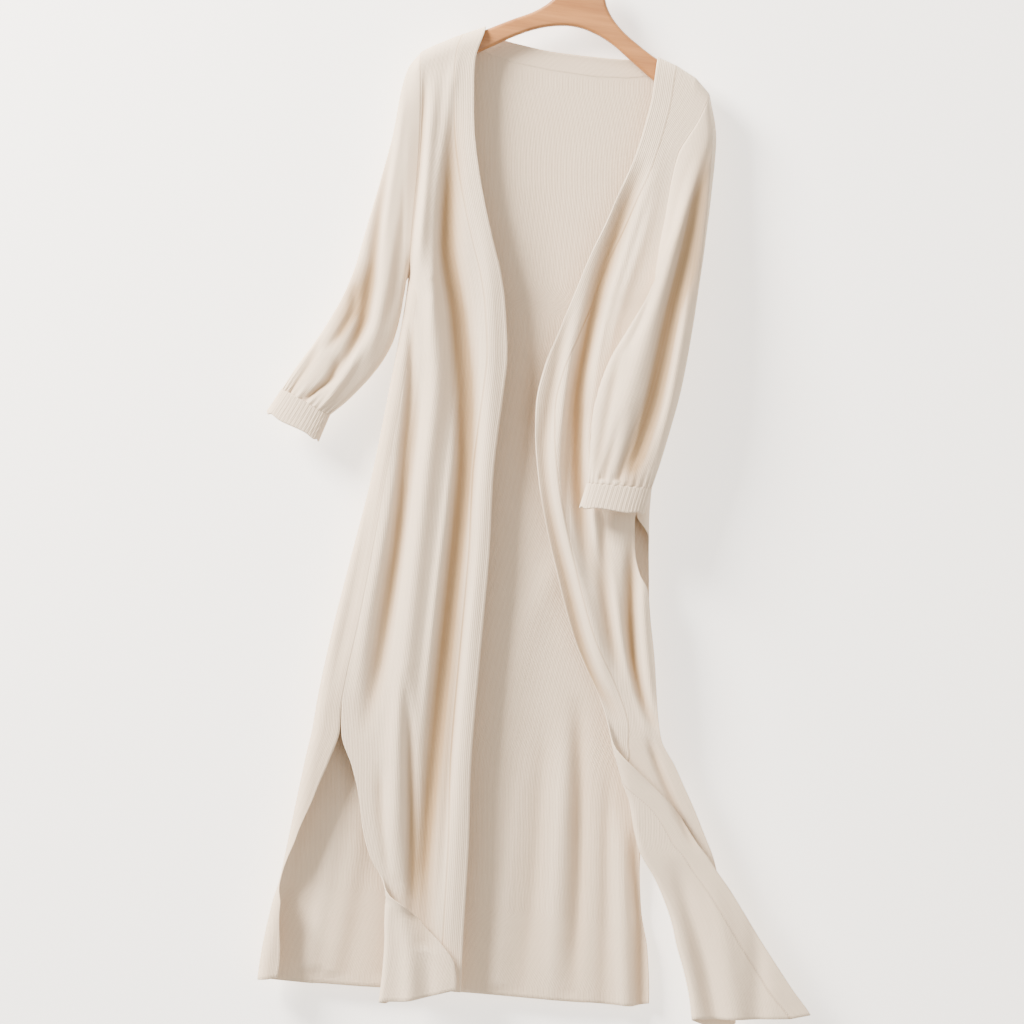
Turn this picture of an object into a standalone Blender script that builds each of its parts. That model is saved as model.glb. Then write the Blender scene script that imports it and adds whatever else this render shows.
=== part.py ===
"""A long open cardigan, a duster, in cream fine knit, hanging on a wooden hanger.

Metres, +Z up, the wearer's front towards -Y. The origin is the inside of the
crown of the hanger's hook, where a rail or a wall peg carries it. The cloth is
a thin wall: each panel is a row of level sections, worked out from a short
table, and the main folds are added to its depth from a table of their own.
"""

import math

import bmesh
import bpy
import numpy as np

# Cloth and seams
WALL = 0.0014
CUFF_WALL = 0.0022
SEAM = 0.0003
BENT_SEAM = 0.0012
BAND_WIDTH = 0.024
HALF_DEPTH = 0.014
FLAP_RADIUS = 0.006
SHOULDER_ROUND = 0.020
SHOULDER_GAP = 0.0005
CUFF_GAP = 0.0009
ARMHOLE_GAP = 0.0022
ARMPIT_GAP = 0.0016
RIGHT_FRONT_HOLE_SHARE = 0.97
ARMPIT_Z = -0.455
RIGHT_HOLE_LOW = -0.444
RIGHT_SLIT_TOP = -0.703
ARMPIT_GAP_DROP = 0.012
ARMPIT_GAP_REACH = 0.016
ARMHOLE_STEPS = 40
ARMHOLE_LOOK_IN = 0.2
ARMHOLE_OUTWARD = 0.3
WIDEST_MET_TURN = math.pi / 2 * 0.96
RIGHT_WRAP_END = -0.480

# Columns of each wall: on its straight part, round its turn and past it
NECK_CORNER_SHARE = 0.76
NECK_CROWDING = 1.5
BACK_COLUMNS = (6, 2, 3, 1)
LEFT_FRONT_COLUMNS = (10, 2, 4)
RIGHT_FRONT_COLUMNS = (10, 3, 5)
LEFT_BAND_COLUMNS = 2
RIGHT_BAND_COLUMNS = 4
NECK_BAND_ROWS = 2
LEAST_COLUMN = 0.005
RIGHT_SIDE_CROWDING = 0.6
RIGHT_CROWDED_FROM = -0.560
RIGHT_CROWDED_OVER = 0.080
LEFT_SLOPE_STEP = 0.004
RIGHT_SLOPE_STEP = 0.008

# Rows of each panel: drops below the shoulder line, then heights where the outlines turn
TOP_FITTED = 0.200
HEM_FITTED = 0.120
TOP_DROPS = (0.0, 0.0014, 0.005, 0.011, 0.020, 0.040, 0.070)
ROW_HEIGHTS = (
    -0.2455, -0.290, -0.335, -0.375, -0.408, -0.428, -0.443, -0.455, -0.467, -0.480, -0.520,
    -0.565, -0.610, -0.655, -0.688, -0.703, -0.725, -0.752, -0.793, -0.840, -0.882, -0.915,
    -0.940,
)
BACK_LOW_ROWS = (-0.982, -1.022, -1.062, -1.105, -1.150, -1.190, -1.225, -1.260, -1.294, -1.325)
LEFT_LOW_ROWS = (
    -0.982, -1.022, -1.062, -1.105, -1.143, -1.162, -1.174, -1.184, -1.192, -1.199, -1.205,
    -1.211, -1.217, -1.224, -1.234, -1.250, -1.272, -1.298, -1.325,
)
RIGHT_LOW_ROWS = (
    -0.952, -0.965, -0.976, -0.986, -0.994, -1.001, -1.008, -1.015, -1.022, -1.029, -1.036,
    -1.043, -1.051, -1.062, -1.080, -1.105, -1.140, -1.180, -1.220, -1.256, -1.291, -1.325,
)

# Rings of the tubes
SLEEVE_POINTS = 20
SLEEVE_RINGS = 14
CUFF_RINGS = 3
SLEEVE_ROUNDNESS = 0.8
SLEEVE_SETTLE_RINGS = 3

# Wooden hanger and steel hook
HANGER_TILT = math.radians(3.5)
WOOD_THICKNESS = 0.012
WOOD_EDGE = 0.0045
HOOK_RADIUS = 0.021
HOOK_WIRE = 0.0018
HOOK_FOOT = -0.075
HOOK_BORE_DEPTH = 0.0115
HOOK_FOOT_LENGTH = 0.012
HOOK_NECK = ((0.0015, -0.050), (0.009, -0.041))
HOOK_START = math.radians(-38)
HOOK_TURN = math.radians(215)
HOOK_STEPS = 16
HOOK_TOP = 0.0036
MERGE_DISTANCE = 0.00002

# Colours, roughness and metallic of the materials
CREAM = (0.83, 0.74, 0.64)
HONEY = (0.56, 0.30, 0.11)
STEEL = (0.62, 0.62, 0.61)

# Top line of the shoulders, over the hanger: x, z
SHOULDER_LINE = (
    (-0.200, -0.188), (-0.192, -0.183), (-0.175, -0.1715), (-0.150, -0.157), (-0.117, -0.1405),
    (0.0965, -0.1485), (0.120, -0.1555), (0.145, -0.167), (0.163, -0.183), (0.172, -0.195),
)

# Band round the back neck: free edge x, free edge z, seam x, seam z
NECK_LINE = (
    (-0.1170, -0.1405, -0.1410, -0.1525),
    (-0.1080, -0.1470, -0.1280, -0.1640),
    (-0.0950, -0.1520, -0.1080, -0.1720),
    (-0.0720, -0.1550, -0.0780, -0.1775),
    (-0.0300, -0.1580, -0.0300, -0.1805),
    (0.0260, -0.1570, 0.0220, -0.1810),
    (0.0600, -0.1550, 0.0640, -0.1770),
    (0.0800, -0.1525, 0.0900, -0.1710),
    (0.0900, -0.1505, 0.1080, -0.1630),
    (0.0965, -0.1485, 0.1200, -0.1555),
)

# Back panel, left side of the view: z, outermost x, turn in degrees, length past the turn
BACK_LEFT = (
    (-0.130, -0.1900, 0, 0.000),
    (-0.184, -0.1900, 0, 0.000),
    (-0.215, -0.1860, 0, 0.000),
    (-0.260, -0.1800, 0, 0.000),
    (-0.330, -0.1740, 0, 0.000),
    (-0.400, -0.1710, 0, 0.000),
    (-0.430, -0.1690, 25, 0.000),
    (-0.455, -0.1675, 90, 0.000),
    (-0.480, -0.1670, 180, 0.000),
    (-0.600, -0.1720, 180, 0.002),
    (-0.700, -0.1780, 180, 0.004),
    (-0.800, -0.1890, 180, 0.011),
    (-0.900, -0.2000, 180, 0.016),
    (-0.982, -0.2060, 180, 0.016),
    (-1.017, -0.2070, 180, 0.019),
    (-1.050, -0.2100, 180, 0.015),
    (-1.091, -0.2130, 180, 0.007),
    (-1.150, -0.2170, 160, 0.000),
    (-1.206, -0.2210, 110, 0.000),
    (-1.235, -0.2260, 165, 0.000),
    (-1.310, -0.2310, 180, 0.010),
    (-1.340, -0.2310, 180, 0.010),
)

# Back panel, right side of the view: z, outermost x, turn in degrees, length past the turn
BACK_RIGHT = (
    (-0.130, 0.1640, 0, 0.000),
    (-0.184, 0.1640, 0, 0.000),
    (-0.215, 0.1670, 0, 0.000),
    (-0.260, 0.1680, 0, 0.000),
    (-0.330, 0.1660, 0, 0.000),
    (-0.400, 0.1630, 0, 0.000),
    (-0.430, 0.1620, 25, 0.000),
    (-0.455, 0.1610, 90, 0.000),
    (-0.480, 0.1600, 180, 0.000),
    (-0.600, 0.1590, 180, 0.000),
    (-0.688, 0.1620, 180, 0.003),
    (-0.703, 0.1630, 175, 0.003),
    (-0.740, 0.1680, 60, 0.000),
    (-0.780, 0.1740, 20, 0.000),
    (-0.834, 0.1820, 0, 0.000),
    (-0.874, 0.1900, 0, 0.000),
    (-0.924, 0.1990, 0, 0.000),
    (-1.000, 0.2050, 0, 0.000),
    (-1.111, 0.2100, 0, 0.000),
    (-1.182, 0.2210, 0, 0.000),
    (-1.228, 0.2350, 0, 0.000),
    (-1.292, 0.2460, 0, 0.000),
    (-1.340, 0.2500, 0, 0.000),
)

# Free edge of the front on the left of the view: z, x
LEFT_EDGE = (
    (-0.130, -0.1170), (-0.1405, -0.1170), (-0.182, -0.1240), (-0.230, -0.1190), (-0.268, -0.1130),
    (-0.315, -0.1010), (-0.355, -0.0880), (-0.398, -0.0720), (-0.436, -0.0570), (-0.476, -0.0460),
    (-0.554, -0.0340), (-0.655, -0.0330), (-0.784, -0.0230), (-0.907, -0.0170), (-1.020, -0.0110),
    (-1.133, 0.0010), (-1.245, 0.0100), (-1.309, 0.0160), (-1.345, 0.0190),
)

# Its outer side below the side seam, with the corner turned forward: z, outermost x, turn, length
LEFT_SIDE = (
    (-0.982, -0.1750, 0, 0.0000),
    (-1.019, -0.1700, 0, 0.0000),
    (-1.056, -0.1520, 0, 0.0000),
    (-1.090, -0.1390, 0, 0.0000),
    (-1.131, -0.1280, 0, 0.0000),
    (-1.165, -0.1130, 0, 0.0000),
    (-1.176, -0.1040, 15, 0.0000),
    (-1.190, -0.0945, 75, 0.0000),
    (-1.203, -0.0905, 130, 0.0040),
    (-1.214, -0.0890, 165, 0.0190),
    (-1.226, -0.0878, 180, 0.0340),
    (-1.238, -0.0865, 180, 0.0460),
    (-1.254, -0.0840, 180, 0.0640),
    (-1.275, -0.0820, 180, 0.0800),
    (-1.304, -0.0805, 180, 0.0845),
    (-1.345, -0.0800, 180, 0.0845),
)

# Front on the right of the view, at its outer side: z, x
RIGHT_SIDE = (
    (-0.130, 0.1630), (-0.183, 0.1630), (-0.215, 0.1560), (-0.240, 0.1450), (-0.262, 0.1360),
    (-0.300, 0.1320), (-0.340, 0.1310), (-0.377, 0.1290), (-0.410, 0.1290), (-0.430, 0.1340),
    (-0.445, 0.1460), (-0.455, 0.1610), (-0.703, 0.1455), (-0.745, 0.1510), (-0.775, 0.1610),
    (-0.793, 0.1730), (-0.834, 0.1830), (-0.874, 0.1930), (-0.924, 0.2030), (-0.947, 0.2080), (-0.973, 0.2160),
    (-0.999, 0.2350), (-1.023, 0.2500), (-1.045, 0.2640), (-1.078, 0.2830), (-1.105, 0.2980),
    (-1.120, 0.3040), (-1.163, 0.3200), (-1.216, 0.3360), (-1.277, 0.3490), (-1.340, 0.3580),
)

# Its front edge, turned back below the middle: z, leftmost x, turn, length past the turn
RIGHT_EDGE = (
    (-0.130, 0.0960, 0, 0.000),
    (-0.149, 0.0960, 0, 0.000),
    (-0.195, 0.0960, 0, 0.000),
    (-0.235, 0.0920, 0, 0.000),
    (-0.279, 0.0840, 0, 0.000),
    (-0.320, 0.0720, 0, 0.000),
    (-0.353, 0.0630, 0, 0.000),
    (-0.401, 0.0480, 0, 0.000),
    (-0.452, 0.0350, 0, 0.000),
    (-0.502, 0.0220, 0, 0.000),
    (-0.542, 0.0120, 0, 0.000),
    (-0.580, 0.0080, 0, 0.000),
    (-0.622, 0.0120, 0, 0.000),
    (-0.679, 0.0240, 0, 0.000),
    (-0.724, 0.0380, 0, 0.000),
    (-0.771, 0.0550, 0, 0.000),
    (-0.866, 0.0950, 0, 0.000),
    (-0.929, 0.1330, 0, 0.000),
    (-0.948, 0.1430, 20, 0.000),
    (-0.970, 0.1520, 85, 0.000),
    (-0.988, 0.1580, 128, 0.003),
    (-1.002, 0.1640, 155, 0.011),
    (-1.018, 0.1710, 175, 0.023),
    (-1.034, 0.1785, 180, 0.036),
    (-1.048, 0.1860, 180, 0.047),
    (-1.089, 0.2000, 180, 0.069),
    (-1.108, 0.2080, 180, 0.080),
    (-1.140, 0.2320, 180, 0.085),
    (-1.163, 0.2460, 180, 0.090),
    (-1.189, 0.2590, 180, 0.098),
    (-1.216, 0.2690, 180, 0.111),
    (-1.246, 0.2820, 180, 0.124),
    (-1.277, 0.2930, 180, 0.142),
    (-1.340, 0.3080, 180, 0.165),
)

# Hems: place across the panel from 0 to 1, z
BACK_HEM = ((0.00, -1.322), (0.10, -1.329), (0.35, -1.323), (0.55, -1.310), (0.80, -1.301), (1.00, -1.294))
LEFT_HEM = ((0.00, -1.310), (0.35, -1.316), (0.48, -1.322), (0.62, -1.335), (0.80, -1.329), (1.00, -1.306))
RIGHT_HEM = ((0.00, -1.300), (0.22, -1.309), (0.50, -1.306), (0.75, -1.298), (1.00, -1.284))
LEFT_BAND_HEM = ((0.00, -1.309), (1.00, -1.310))
RIGHT_BAND_HEM = ((0.00, -1.284), (1.00, -1.276))

# Folds of each layer. A fold's rows: z, x, half width, height towards the front
BACK_FOLDS = (
    ((-0.930, 0.108, 0.010, 0), (-1.000, 0.119, 0.010, -0.005), (-1.100, 0.133, 0.010, -0.007),
     (-1.200, 0.144, 0.010, -0.006), (-1.300, 0.152, 0.011, -0.001)),
    ((-0.950, 0.098, 0.012, 0), (-1.080, 0.109, 0.012, 0.004), (-1.240, 0.121, 0.012, 0.003),
     (-1.310, 0.126, 0.012, 0.001)),
    ((-1.060, 0.176, 0.010, 0), (-1.120, 0.188, 0.010, 0.004), (-1.220, 0.205, 0.010, 0.006),
     (-1.310, 0.220, 0.010, 0.005)),
    ((-1.080, 0.200, 0.008, 0), (-1.140, 0.209, 0.008, -0.006), (-1.200, 0.222, 0.008, -0.008),
     (-1.310, 0.240, 0.009, -0.006)),
)
LEFT_FOLDS = (
    ((-0.215, -0.152, 0.014, 0), (-0.300, -0.139, 0.015, -0.007), (-0.400, -0.128, 0.015, -0.011),
     (-0.500, -0.100, 0.015, -0.012), (-0.600, -0.077, 0.016, -0.012), (-0.700, -0.065, 0.015, -0.012),
     (-0.850, -0.060, 0.014, -0.012), (-1.000, -0.055, 0.014, -0.011), (-1.150, -0.049, 0.013, -0.009),
     (-1.260, -0.035, 0.013, -0.002)),
    ((-0.290, -0.160, 0.012, 0), (-0.400, -0.156, 0.013, 0.006), (-0.500, -0.131, 0.014, 0.010),
     (-0.600, -0.116, 0.014, 0.010), (-0.700, -0.113, 0.014, 0.009), (-0.850, -0.108, 0.014, 0.008),
     (-1.000, -0.103, 0.013, 0.007), (-1.100, -0.093, 0.012, 0.006), (-1.180, -0.082, 0.012, 0.001)),
    ((-0.550, -0.140, 0.010, 0), (-0.650, -0.134, 0.011, -0.007), (-0.800, -0.135, 0.012, -0.009),
     (-0.920, -0.138, 0.011, -0.007), (-1.020, -0.144, 0.010, 0)),
    ((-0.660, -0.150, 0.009, 0), (-0.780, -0.154, 0.009, 0.004), (-0.900, -0.160, 0.010, 0.004),
     (-0.990, -0.158, 0.010, 0)),
    ((-0.340, -0.101, 0.012, 0), (-0.450, -0.068, 0.012, 0.004), (-0.600, -0.048, 0.013, 0.005),
     (-0.800, -0.038, 0.013, 0.004), (-1.000, -0.022, 0.013, 0.004), (-1.200, -0.008, 0.013, 0.003),
     (-1.310, 0.002, 0.013, 0)),
)
LEFT_FLAP_FOLDS = (
    ((-1.225, -0.070, 0.010, 0), (-1.270, -0.052, 0.010, 0.004), (-1.340, -0.042, 0.011, 0.006)),
    ((-1.240, -0.040, 0.010, 0), (-1.285, -0.026, 0.010, -0.003), (-1.340, -0.020, 0.010, -0.003)),
)
RIGHT_FOLDS = (
    ((-0.450, 0.036, 0.009, 0), (-0.520, 0.028, 0.009, -0.004), (-0.620, 0.024, 0.010, -0.005),
     (-0.700, 0.040, 0.010, -0.006), (-0.800, 0.077, 0.011, -0.008), (-0.900, 0.118, 0.011, -0.008),
     (-0.960, 0.165, 0.010, 0)),
    ((-0.270, 0.098, 0.011, 0), (-0.350, 0.080, 0.012, -0.008), (-0.450, 0.064, 0.012, -0.010),
     (-0.550, 0.058, 0.012, -0.011), (-0.650, 0.068, 0.012, -0.010), (-0.740, 0.087, 0.011, -0.006),
     (-0.810, 0.108, 0.010, 0)),
    ((-0.420, 0.048, 0.010, 0), (-0.550, 0.040, 0.010, 0.004), (-0.650, 0.042, 0.011, 0.005),
     (-0.750, 0.071, 0.011, 0.005), (-0.850, 0.114, 0.012, 0.005), (-0.930, 0.150, 0.011, 0)),
    ((-0.250, 0.112, 0.012, 0), (-0.350, 0.105, 0.012, 0.004), (-0.450, 0.087, 0.011, 0.006),
     (-0.530, 0.075, 0.010, 0.004), (-0.590, 0.070, 0.010, 0)),
    ((-0.690, 0.106, 0.009, 0), (-0.750, 0.112, 0.009, -0.005), (-0.850, 0.135, 0.009, -0.006),
     (-0.910, 0.156, 0.009, 0)),
    ((-0.715, 0.144, 0.008, 0), (-0.790, 0.153, 0.008, -0.008), (-0.870, 0.166, 0.009, -0.010),
     (-0.920, 0.183, 0.009, -0.008), (-0.965, 0.208, 0.009, 0)),
)
RIGHT_FLAP_FOLDS = (
    ((-1.110, 0.252, 0.012, 0), (-1.160, 0.272, 0.012, -0.005), (-1.220, 0.300, 0.012, -0.006),
     (-1.340, 0.340, 0.013, -0.005)),
    ((-1.150, 0.252, 0.010, 0), (-1.220, 0.280, 0.011, 0.004), (-1.340, 0.325, 0.012, 0.004)),
    ((-1.150, 0.352, 0.011, 0), (-1.230, 0.370, 0.012, -0.004), (-1.340, 0.384, 0.014, -0.004)),
    ((-1.120, 0.290, 0.013, 0), (-1.200, 0.325, 0.014, 0.004), (-1.340, 0.362, 0.015, 0.004)),
)
LEFT_SLEEVE_FOLDS = (
    ((-0.260, -0.207, 0.008, 0), (-0.350, -0.213, 0.009, -0.005), (-0.450, -0.212, 0.009, -0.007),
     (-0.510, -0.213, 0.009, -0.008), (-0.550, -0.223, 0.008, -0.006), (-0.585, -0.238, 0.008, 0)),
    ((-0.360, -0.195, 0.011, 0), (-0.440, -0.192, 0.012, 0.004), (-0.520, -0.195, 0.012, 0.005),
     (-0.580, -0.212, 0.010, 0)),
)
RIGHT_SLEEVE_FOLDS = (
    ((-0.240, 0.170, 0.009, 0), (-0.330, 0.167, 0.010, -0.006), (-0.450, 0.158, 0.011, -0.008),
     (-0.560, 0.150, 0.011, -0.009), (-0.630, 0.139, 0.010, -0.007), (-0.665, 0.128, 0.010, 0)),
    ((-0.250, 0.156, 0.010, 0), (-0.340, 0.149, 0.011, 0.005), (-0.450, 0.133, 0.012, 0.006),
     (-0.560, 0.117, 0.013, 0.005), (-0.650, 0.105, 0.012, 0)),
)

# Sleeve on the left of the view, one ring a row:
# outer x, outer z, outer y, inner x, inner z, inner y, half depth, and how far its back bows out and down
LEFT_SLEEVE = (
    (-0.2035, -0.205, 0.000, -0.1705, -0.462, 0.000, 0.0135, 0, 0),
    (-0.2080, -0.235, 0.000, -0.1705, -0.472, 0.000, 0.0130, 0, 0),
    (-0.2100, -0.281, 0.000, -0.1710, -0.482, 0.000, 0.0125, 0, 0),
    (-0.2170, -0.340, 0.000, -0.1712, -0.494, 0.000, 0.0120, 0, 0),
    (-0.2260, -0.400, 0.000, -0.1720, -0.508, 0.000, 0.0120, 0, 0),
    (-0.2340, -0.455, -0.001, -0.1750, -0.532, -0.001, 0.0120, 0, 0),
    (-0.2440, -0.492, -0.002, -0.1840, -0.559, -0.002, 0.0120, 0, 0),
    (-0.2560, -0.522, -0.003, -0.1960, -0.581, -0.003, 0.0120, 0, 0),
    (-0.2700, -0.552, -0.004, -0.2090, -0.600, -0.004, 0.0115, 0, 0),
    (-0.2860, -0.581, -0.005, -0.2230, -0.618, -0.005, 0.0110, 0, 0),
    (-0.3010, -0.613, -0.006, -0.2400, -0.636, -0.006, 0.0105, 0, 0),
)
LEFT_CUFF_END = (-0.3150, -0.643, -0.007, -0.2490, -0.668, -0.007, 0.0110, 0, 0)

# Sleeve on the right of the view, which hangs in front of the body, with the same columns
RIGHT_SLEEVE = (
    (0.1755, -0.225, -0.004, 0.1270, -0.4320, -0.025, 0.0115, 0.018, -0.024),
    (0.1785, -0.270, -0.009, 0.1220, -0.4460, -0.030, 0.0105, 0.016, -0.018),
    (0.1815, -0.325, -0.015, 0.1150, -0.4620, -0.032, 0.0105, 0.012, -0.014),
    (0.1830, -0.380, -0.021, 0.1030, -0.4900, -0.033, 0.0110, 0.008, -0.010),
    (0.1830, -0.435, -0.027, 0.0890, -0.5240, -0.033, 0.0115, 0.003, -0.004),
    (0.1820, -0.485, -0.031, 0.0810, -0.5600, -0.033, 0.0120, 0, 0),
    (0.1790, -0.545, -0.033, 0.0780, -0.5920, -0.033, 0.0120, 0, 0),
    (0.1725, -0.597, -0.033, 0.0800, -0.6220, -0.033, 0.0120, 0, 0),
    (0.1655, -0.642, -0.033, 0.0820, -0.6510, -0.033, 0.0120, 0, 0),
    (0.1600, -0.670, -0.033, 0.0830, -0.6750, -0.033, 0.0115, 0, 0),
)
RIGHT_CUFF_END = (0.1550, -0.701, -0.033, 0.0780, -0.7045, -0.033, 0.0120, 0, 0)

# Outline of the wooden hanger before it tilts, each arm from the crown to the lower apex: x, z
HANGER_RIGHT = (
    (0.000, -0.064), (0.014, -0.067), (0.024, -0.078), (0.034, -0.097), (0.050, -0.114),
    (0.080, -0.1325), (0.1055, -0.1446), (0.1192, -0.1497), (0.1447, -0.1554), (0.1602, -0.1640),
    (0.1640, -0.1740), (0.1560, -0.1860), (0.135, -0.1850), (0.105, -0.1710), (0.070, -0.1510),
    (0.045, -0.137), (0.022, -0.129), (0.000, -0.126),
)
HANGER_LEFT = (
    (-0.014, -0.067), (-0.024, -0.078), (-0.034, -0.097), (-0.050, -0.114), (-0.080, -0.133),
    (-0.105, -0.1492), (-0.1256, -0.1630), (-0.1401, -0.1724), (-0.1580, -0.1800), (-0.1640, -0.1930),
    (-0.1560, -0.2020), (-0.135, -0.1960), (-0.105, -0.176), (-0.070, -0.151), (-0.045, -0.137),
    (-0.022, -0.129),
)


def ease(rows, column, at):
    """Smooth value of a table's column at a place in its first column, without overshoot."""
    ordered = sorted(rows)
    place = np.array([row[0] for row in ordered], float)
    value = np.array([row[column] for row in ordered], float)
    step = np.diff(place)
    slope = np.diff(value) / step
    same = slope[:-1] * slope[1:] > 0
    tilt = np.zeros(len(place))
    both = np.where(same, slope[:-1] + slope[1:], 1.0)
    tilt[1:-1] = np.where(same, 2 * slope[:-1] * slope[1:] / both, 0.0)
    tilt[0], tilt[-1] = slope[0], slope[-1]
    at = np.clip(at, place[0], place[-1])
    i = np.clip(np.searchsorted(place, at) - 1, 0, len(step) - 1)
    h = step[i]
    u = (at - place[i]) / h
    start = (1 + 2 * u) * (1 - u) ** 2 * value[i] + u * (1 - u) ** 2 * h * tilt[i]
    end = u * u * (3 - 2 * u) * value[i + 1] - u * u * (1 - u) * h * tilt[i + 1]
    return start + end


def relief(folds, x, z):
    """Height of a layer's folds towards the front, at points of its flat plan."""
    total = np.zeros_like(x)
    for rows in folds:
        inside = (z <= rows[0][0]) & (z >= rows[-1][0])
        off = (x - ease(rows, 1, z)) / ease(rows, 2, z)
        total += np.where(inside, ease(rows, 3, z) * np.exp(-off * off), 0.0)
    return total


def shoulder_z(x):
    """Height of the shoulder line over a place across the garment."""
    xs, zs = zip(*SHOULDER_LINE)
    return np.interp(x, xs, zs)


def layer_depth(x, z):
    """How far the cloth lies from the middle plane: none on the shoulder line, all below its round."""
    drop = np.clip((shoulder_z(x) - z) / SHOULDER_ROUND, 0.0, 1.0)
    return SHOULDER_GAP + (HALF_DEPTH - SHOULDER_GAP) * np.sqrt(drop * (2 - drop))


def straight_length(anchor, outermost, turn, radius):
    """Length of a level section's straight part, from its anchor to the start of its turn."""
    return np.abs(outermost - anchor) - radius * np.sin(np.minimum(turn, math.pi / 2))


def turned_point(anchor, outermost, turn, radius, along):
    """Place across, rise out of the plane and turned share of a point so far along a section."""
    side = np.sign(outermost - anchor)
    straight = straight_length(anchor, outermost, turn, radius)
    angle = np.clip((along - straight) / radius, 0.0, turn)
    past = np.maximum(along - straight - radius * turn, 0.0)
    across = np.minimum(along, straight) + radius * np.sin(angle) + past * np.cos(turn)
    rise = radius * (1 - np.cos(angle)) + past * np.sin(turn)
    return anchor + side * across, rise, (1 - np.cos(angle)) / 2


def column_place(column, split, start, straight, bend, end):
    """How far along a section a column lies, so that the same columns always go round the turn."""
    first, around, last = split
    least = np.minimum(LEAST_COLUMN, 0.8 * (end - start) / sum(split))
    turn_end = np.minimum(straight + bend, end - last * least)
    main_end = np.minimum(straight, turn_end - around * least)
    on_main = start + (main_end - start) * np.minimum(column / first, 1.0)
    on_turn = (turn_end - main_end) * np.clip((column - first) / around, 0.0, 1.0)
    on_tail = (end - turn_end) * np.clip((column - first - around) / last, 0.0, 1.0)
    return on_main + on_turn + on_tail


def back_side(rows, z):
    """Outermost x, turn in radians and tail of one side of the back panel."""
    return ease(rows, 1, z), np.radians(ease(rows, 2, z)), ease(rows, 3, z)


def back_half_point(rows, column, z):
    """Point of one half of the back panel, at a column counted from its middle."""
    outermost, turn, tail = back_side(rows, z)
    straight = straight_length(0.0, outermost, turn, HALF_DEPTH)
    neck, shoulder, around, last = BACK_COLUMNS
    inner = NECK_CORNER_SHARE * (1 - np.clip(1 - column / neck, 0.0, 1.0) ** NECK_CROWDING)
    outer = (1 - NECK_CORNER_SHARE) * np.clip((column - neck) / shoulder, 0.0, 1.0)
    first = neck + shoulder
    evened = np.where(column < first, (inner + outer) * first, column)
    along = column_place(
        evened, (first, around, last), 0.0, straight, HALF_DEPTH * turn, straight + HALF_DEPTH * turn + tail
    )
    x, rise, turned = turned_point(0.0, outermost, turn, HALF_DEPTH, along)
    front = relief(LEFT_FOLDS if rows is BACK_LEFT else RIGHT_FOLDS, x, z)
    return x, layer_depth(x, z) - rise - (1 - turned) * relief(BACK_FOLDS, x, z) - turned * front


def back_point(column, z):
    """Point of the back panel: columns below 0 lie left of its middle, the rest right."""
    left_x, left_y = back_half_point(BACK_LEFT, np.maximum(-column, 0), z)
    right_x, right_y = back_half_point(BACK_RIGHT, np.maximum(column, 0), z)
    return np.where(column < 0, left_x, right_x), np.where(column < 0, left_y, right_y)


def meeting_side(rows, z):
    """Outermost x and turn of a front whose side meets the back panel's side, edge to edge."""
    outermost, turn, tail = back_side(rows, z)
    inward = -np.sign(outermost)
    set_in = np.where(turn > math.pi / 2, HALF_DEPTH * (1 - np.sin(turn)), 0.0)
    met = np.where(z < ARMPIT_Z, math.pi - turn, turn)
    gap = SEAM + ARMPIT_GAP * np.exp(-(((z - ARMPIT_Z + ARMPIT_GAP_DROP) / ARMPIT_GAP_REACH) ** 2))
    return outermost + inward * (set_in + tail + gap), np.clip(met, 0.0, WIDEST_MET_TURN)


def left_front_point(column, z, is_band):
    """Point of the front on the left or of its band, from the free edge to the side."""
    step = LEFT_SLOPE_STEP
    slope = (ease(LEFT_EDGE, 1, z + step) - ease(LEFT_EDGE, 1, z - step)) / (2 * step)
    band = BAND_WIDTH * np.sqrt(1 + slope * slope)
    edge = ease(LEFT_EDGE, 1, z)
    met_x, met_turn = meeting_side(BACK_LEFT, z)
    free = z < LEFT_SIDE[0][0]
    outermost = np.where(free, ease(LEFT_SIDE, 1, z), met_x)
    turn = np.where(free, np.radians(ease(LEFT_SIDE, 2, z)), met_turn)
    tail = np.where(free, ease(LEFT_SIDE, 3, z), 0.0)
    radius = np.where(free, FLAP_RADIUS, HALF_DEPTH)
    straight = straight_length(edge, outermost, turn, radius)
    if is_band:
        along = band * column / LEFT_BAND_COLUMNS
    else:
        end = straight + radius * turn + tail
        along = column_place(column, LEFT_FRONT_COLUMNS, band + BENT_SEAM, straight, radius * turn, end)
    x, rise, turned = turned_point(edge, outermost, turn, radius, along)
    rise = np.where(free, -rise, rise)
    over = np.where(free, turned, 0.0) * relief(LEFT_FLAP_FOLDS, x, z)
    return x, -layer_depth(x, z) + rise - relief(LEFT_FOLDS, x, z) - over


def right_edge_x(z):
    """Place of the free edge of the front on the right, turned back or not."""
    turned = np.clip(ease(RIGHT_EDGE, 2, z) / 180, 0, 1)
    return ease(RIGHT_EDGE, 1, z) + turned * FLAP_RADIUS + ease(RIGHT_EDGE, 3, z)


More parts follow.
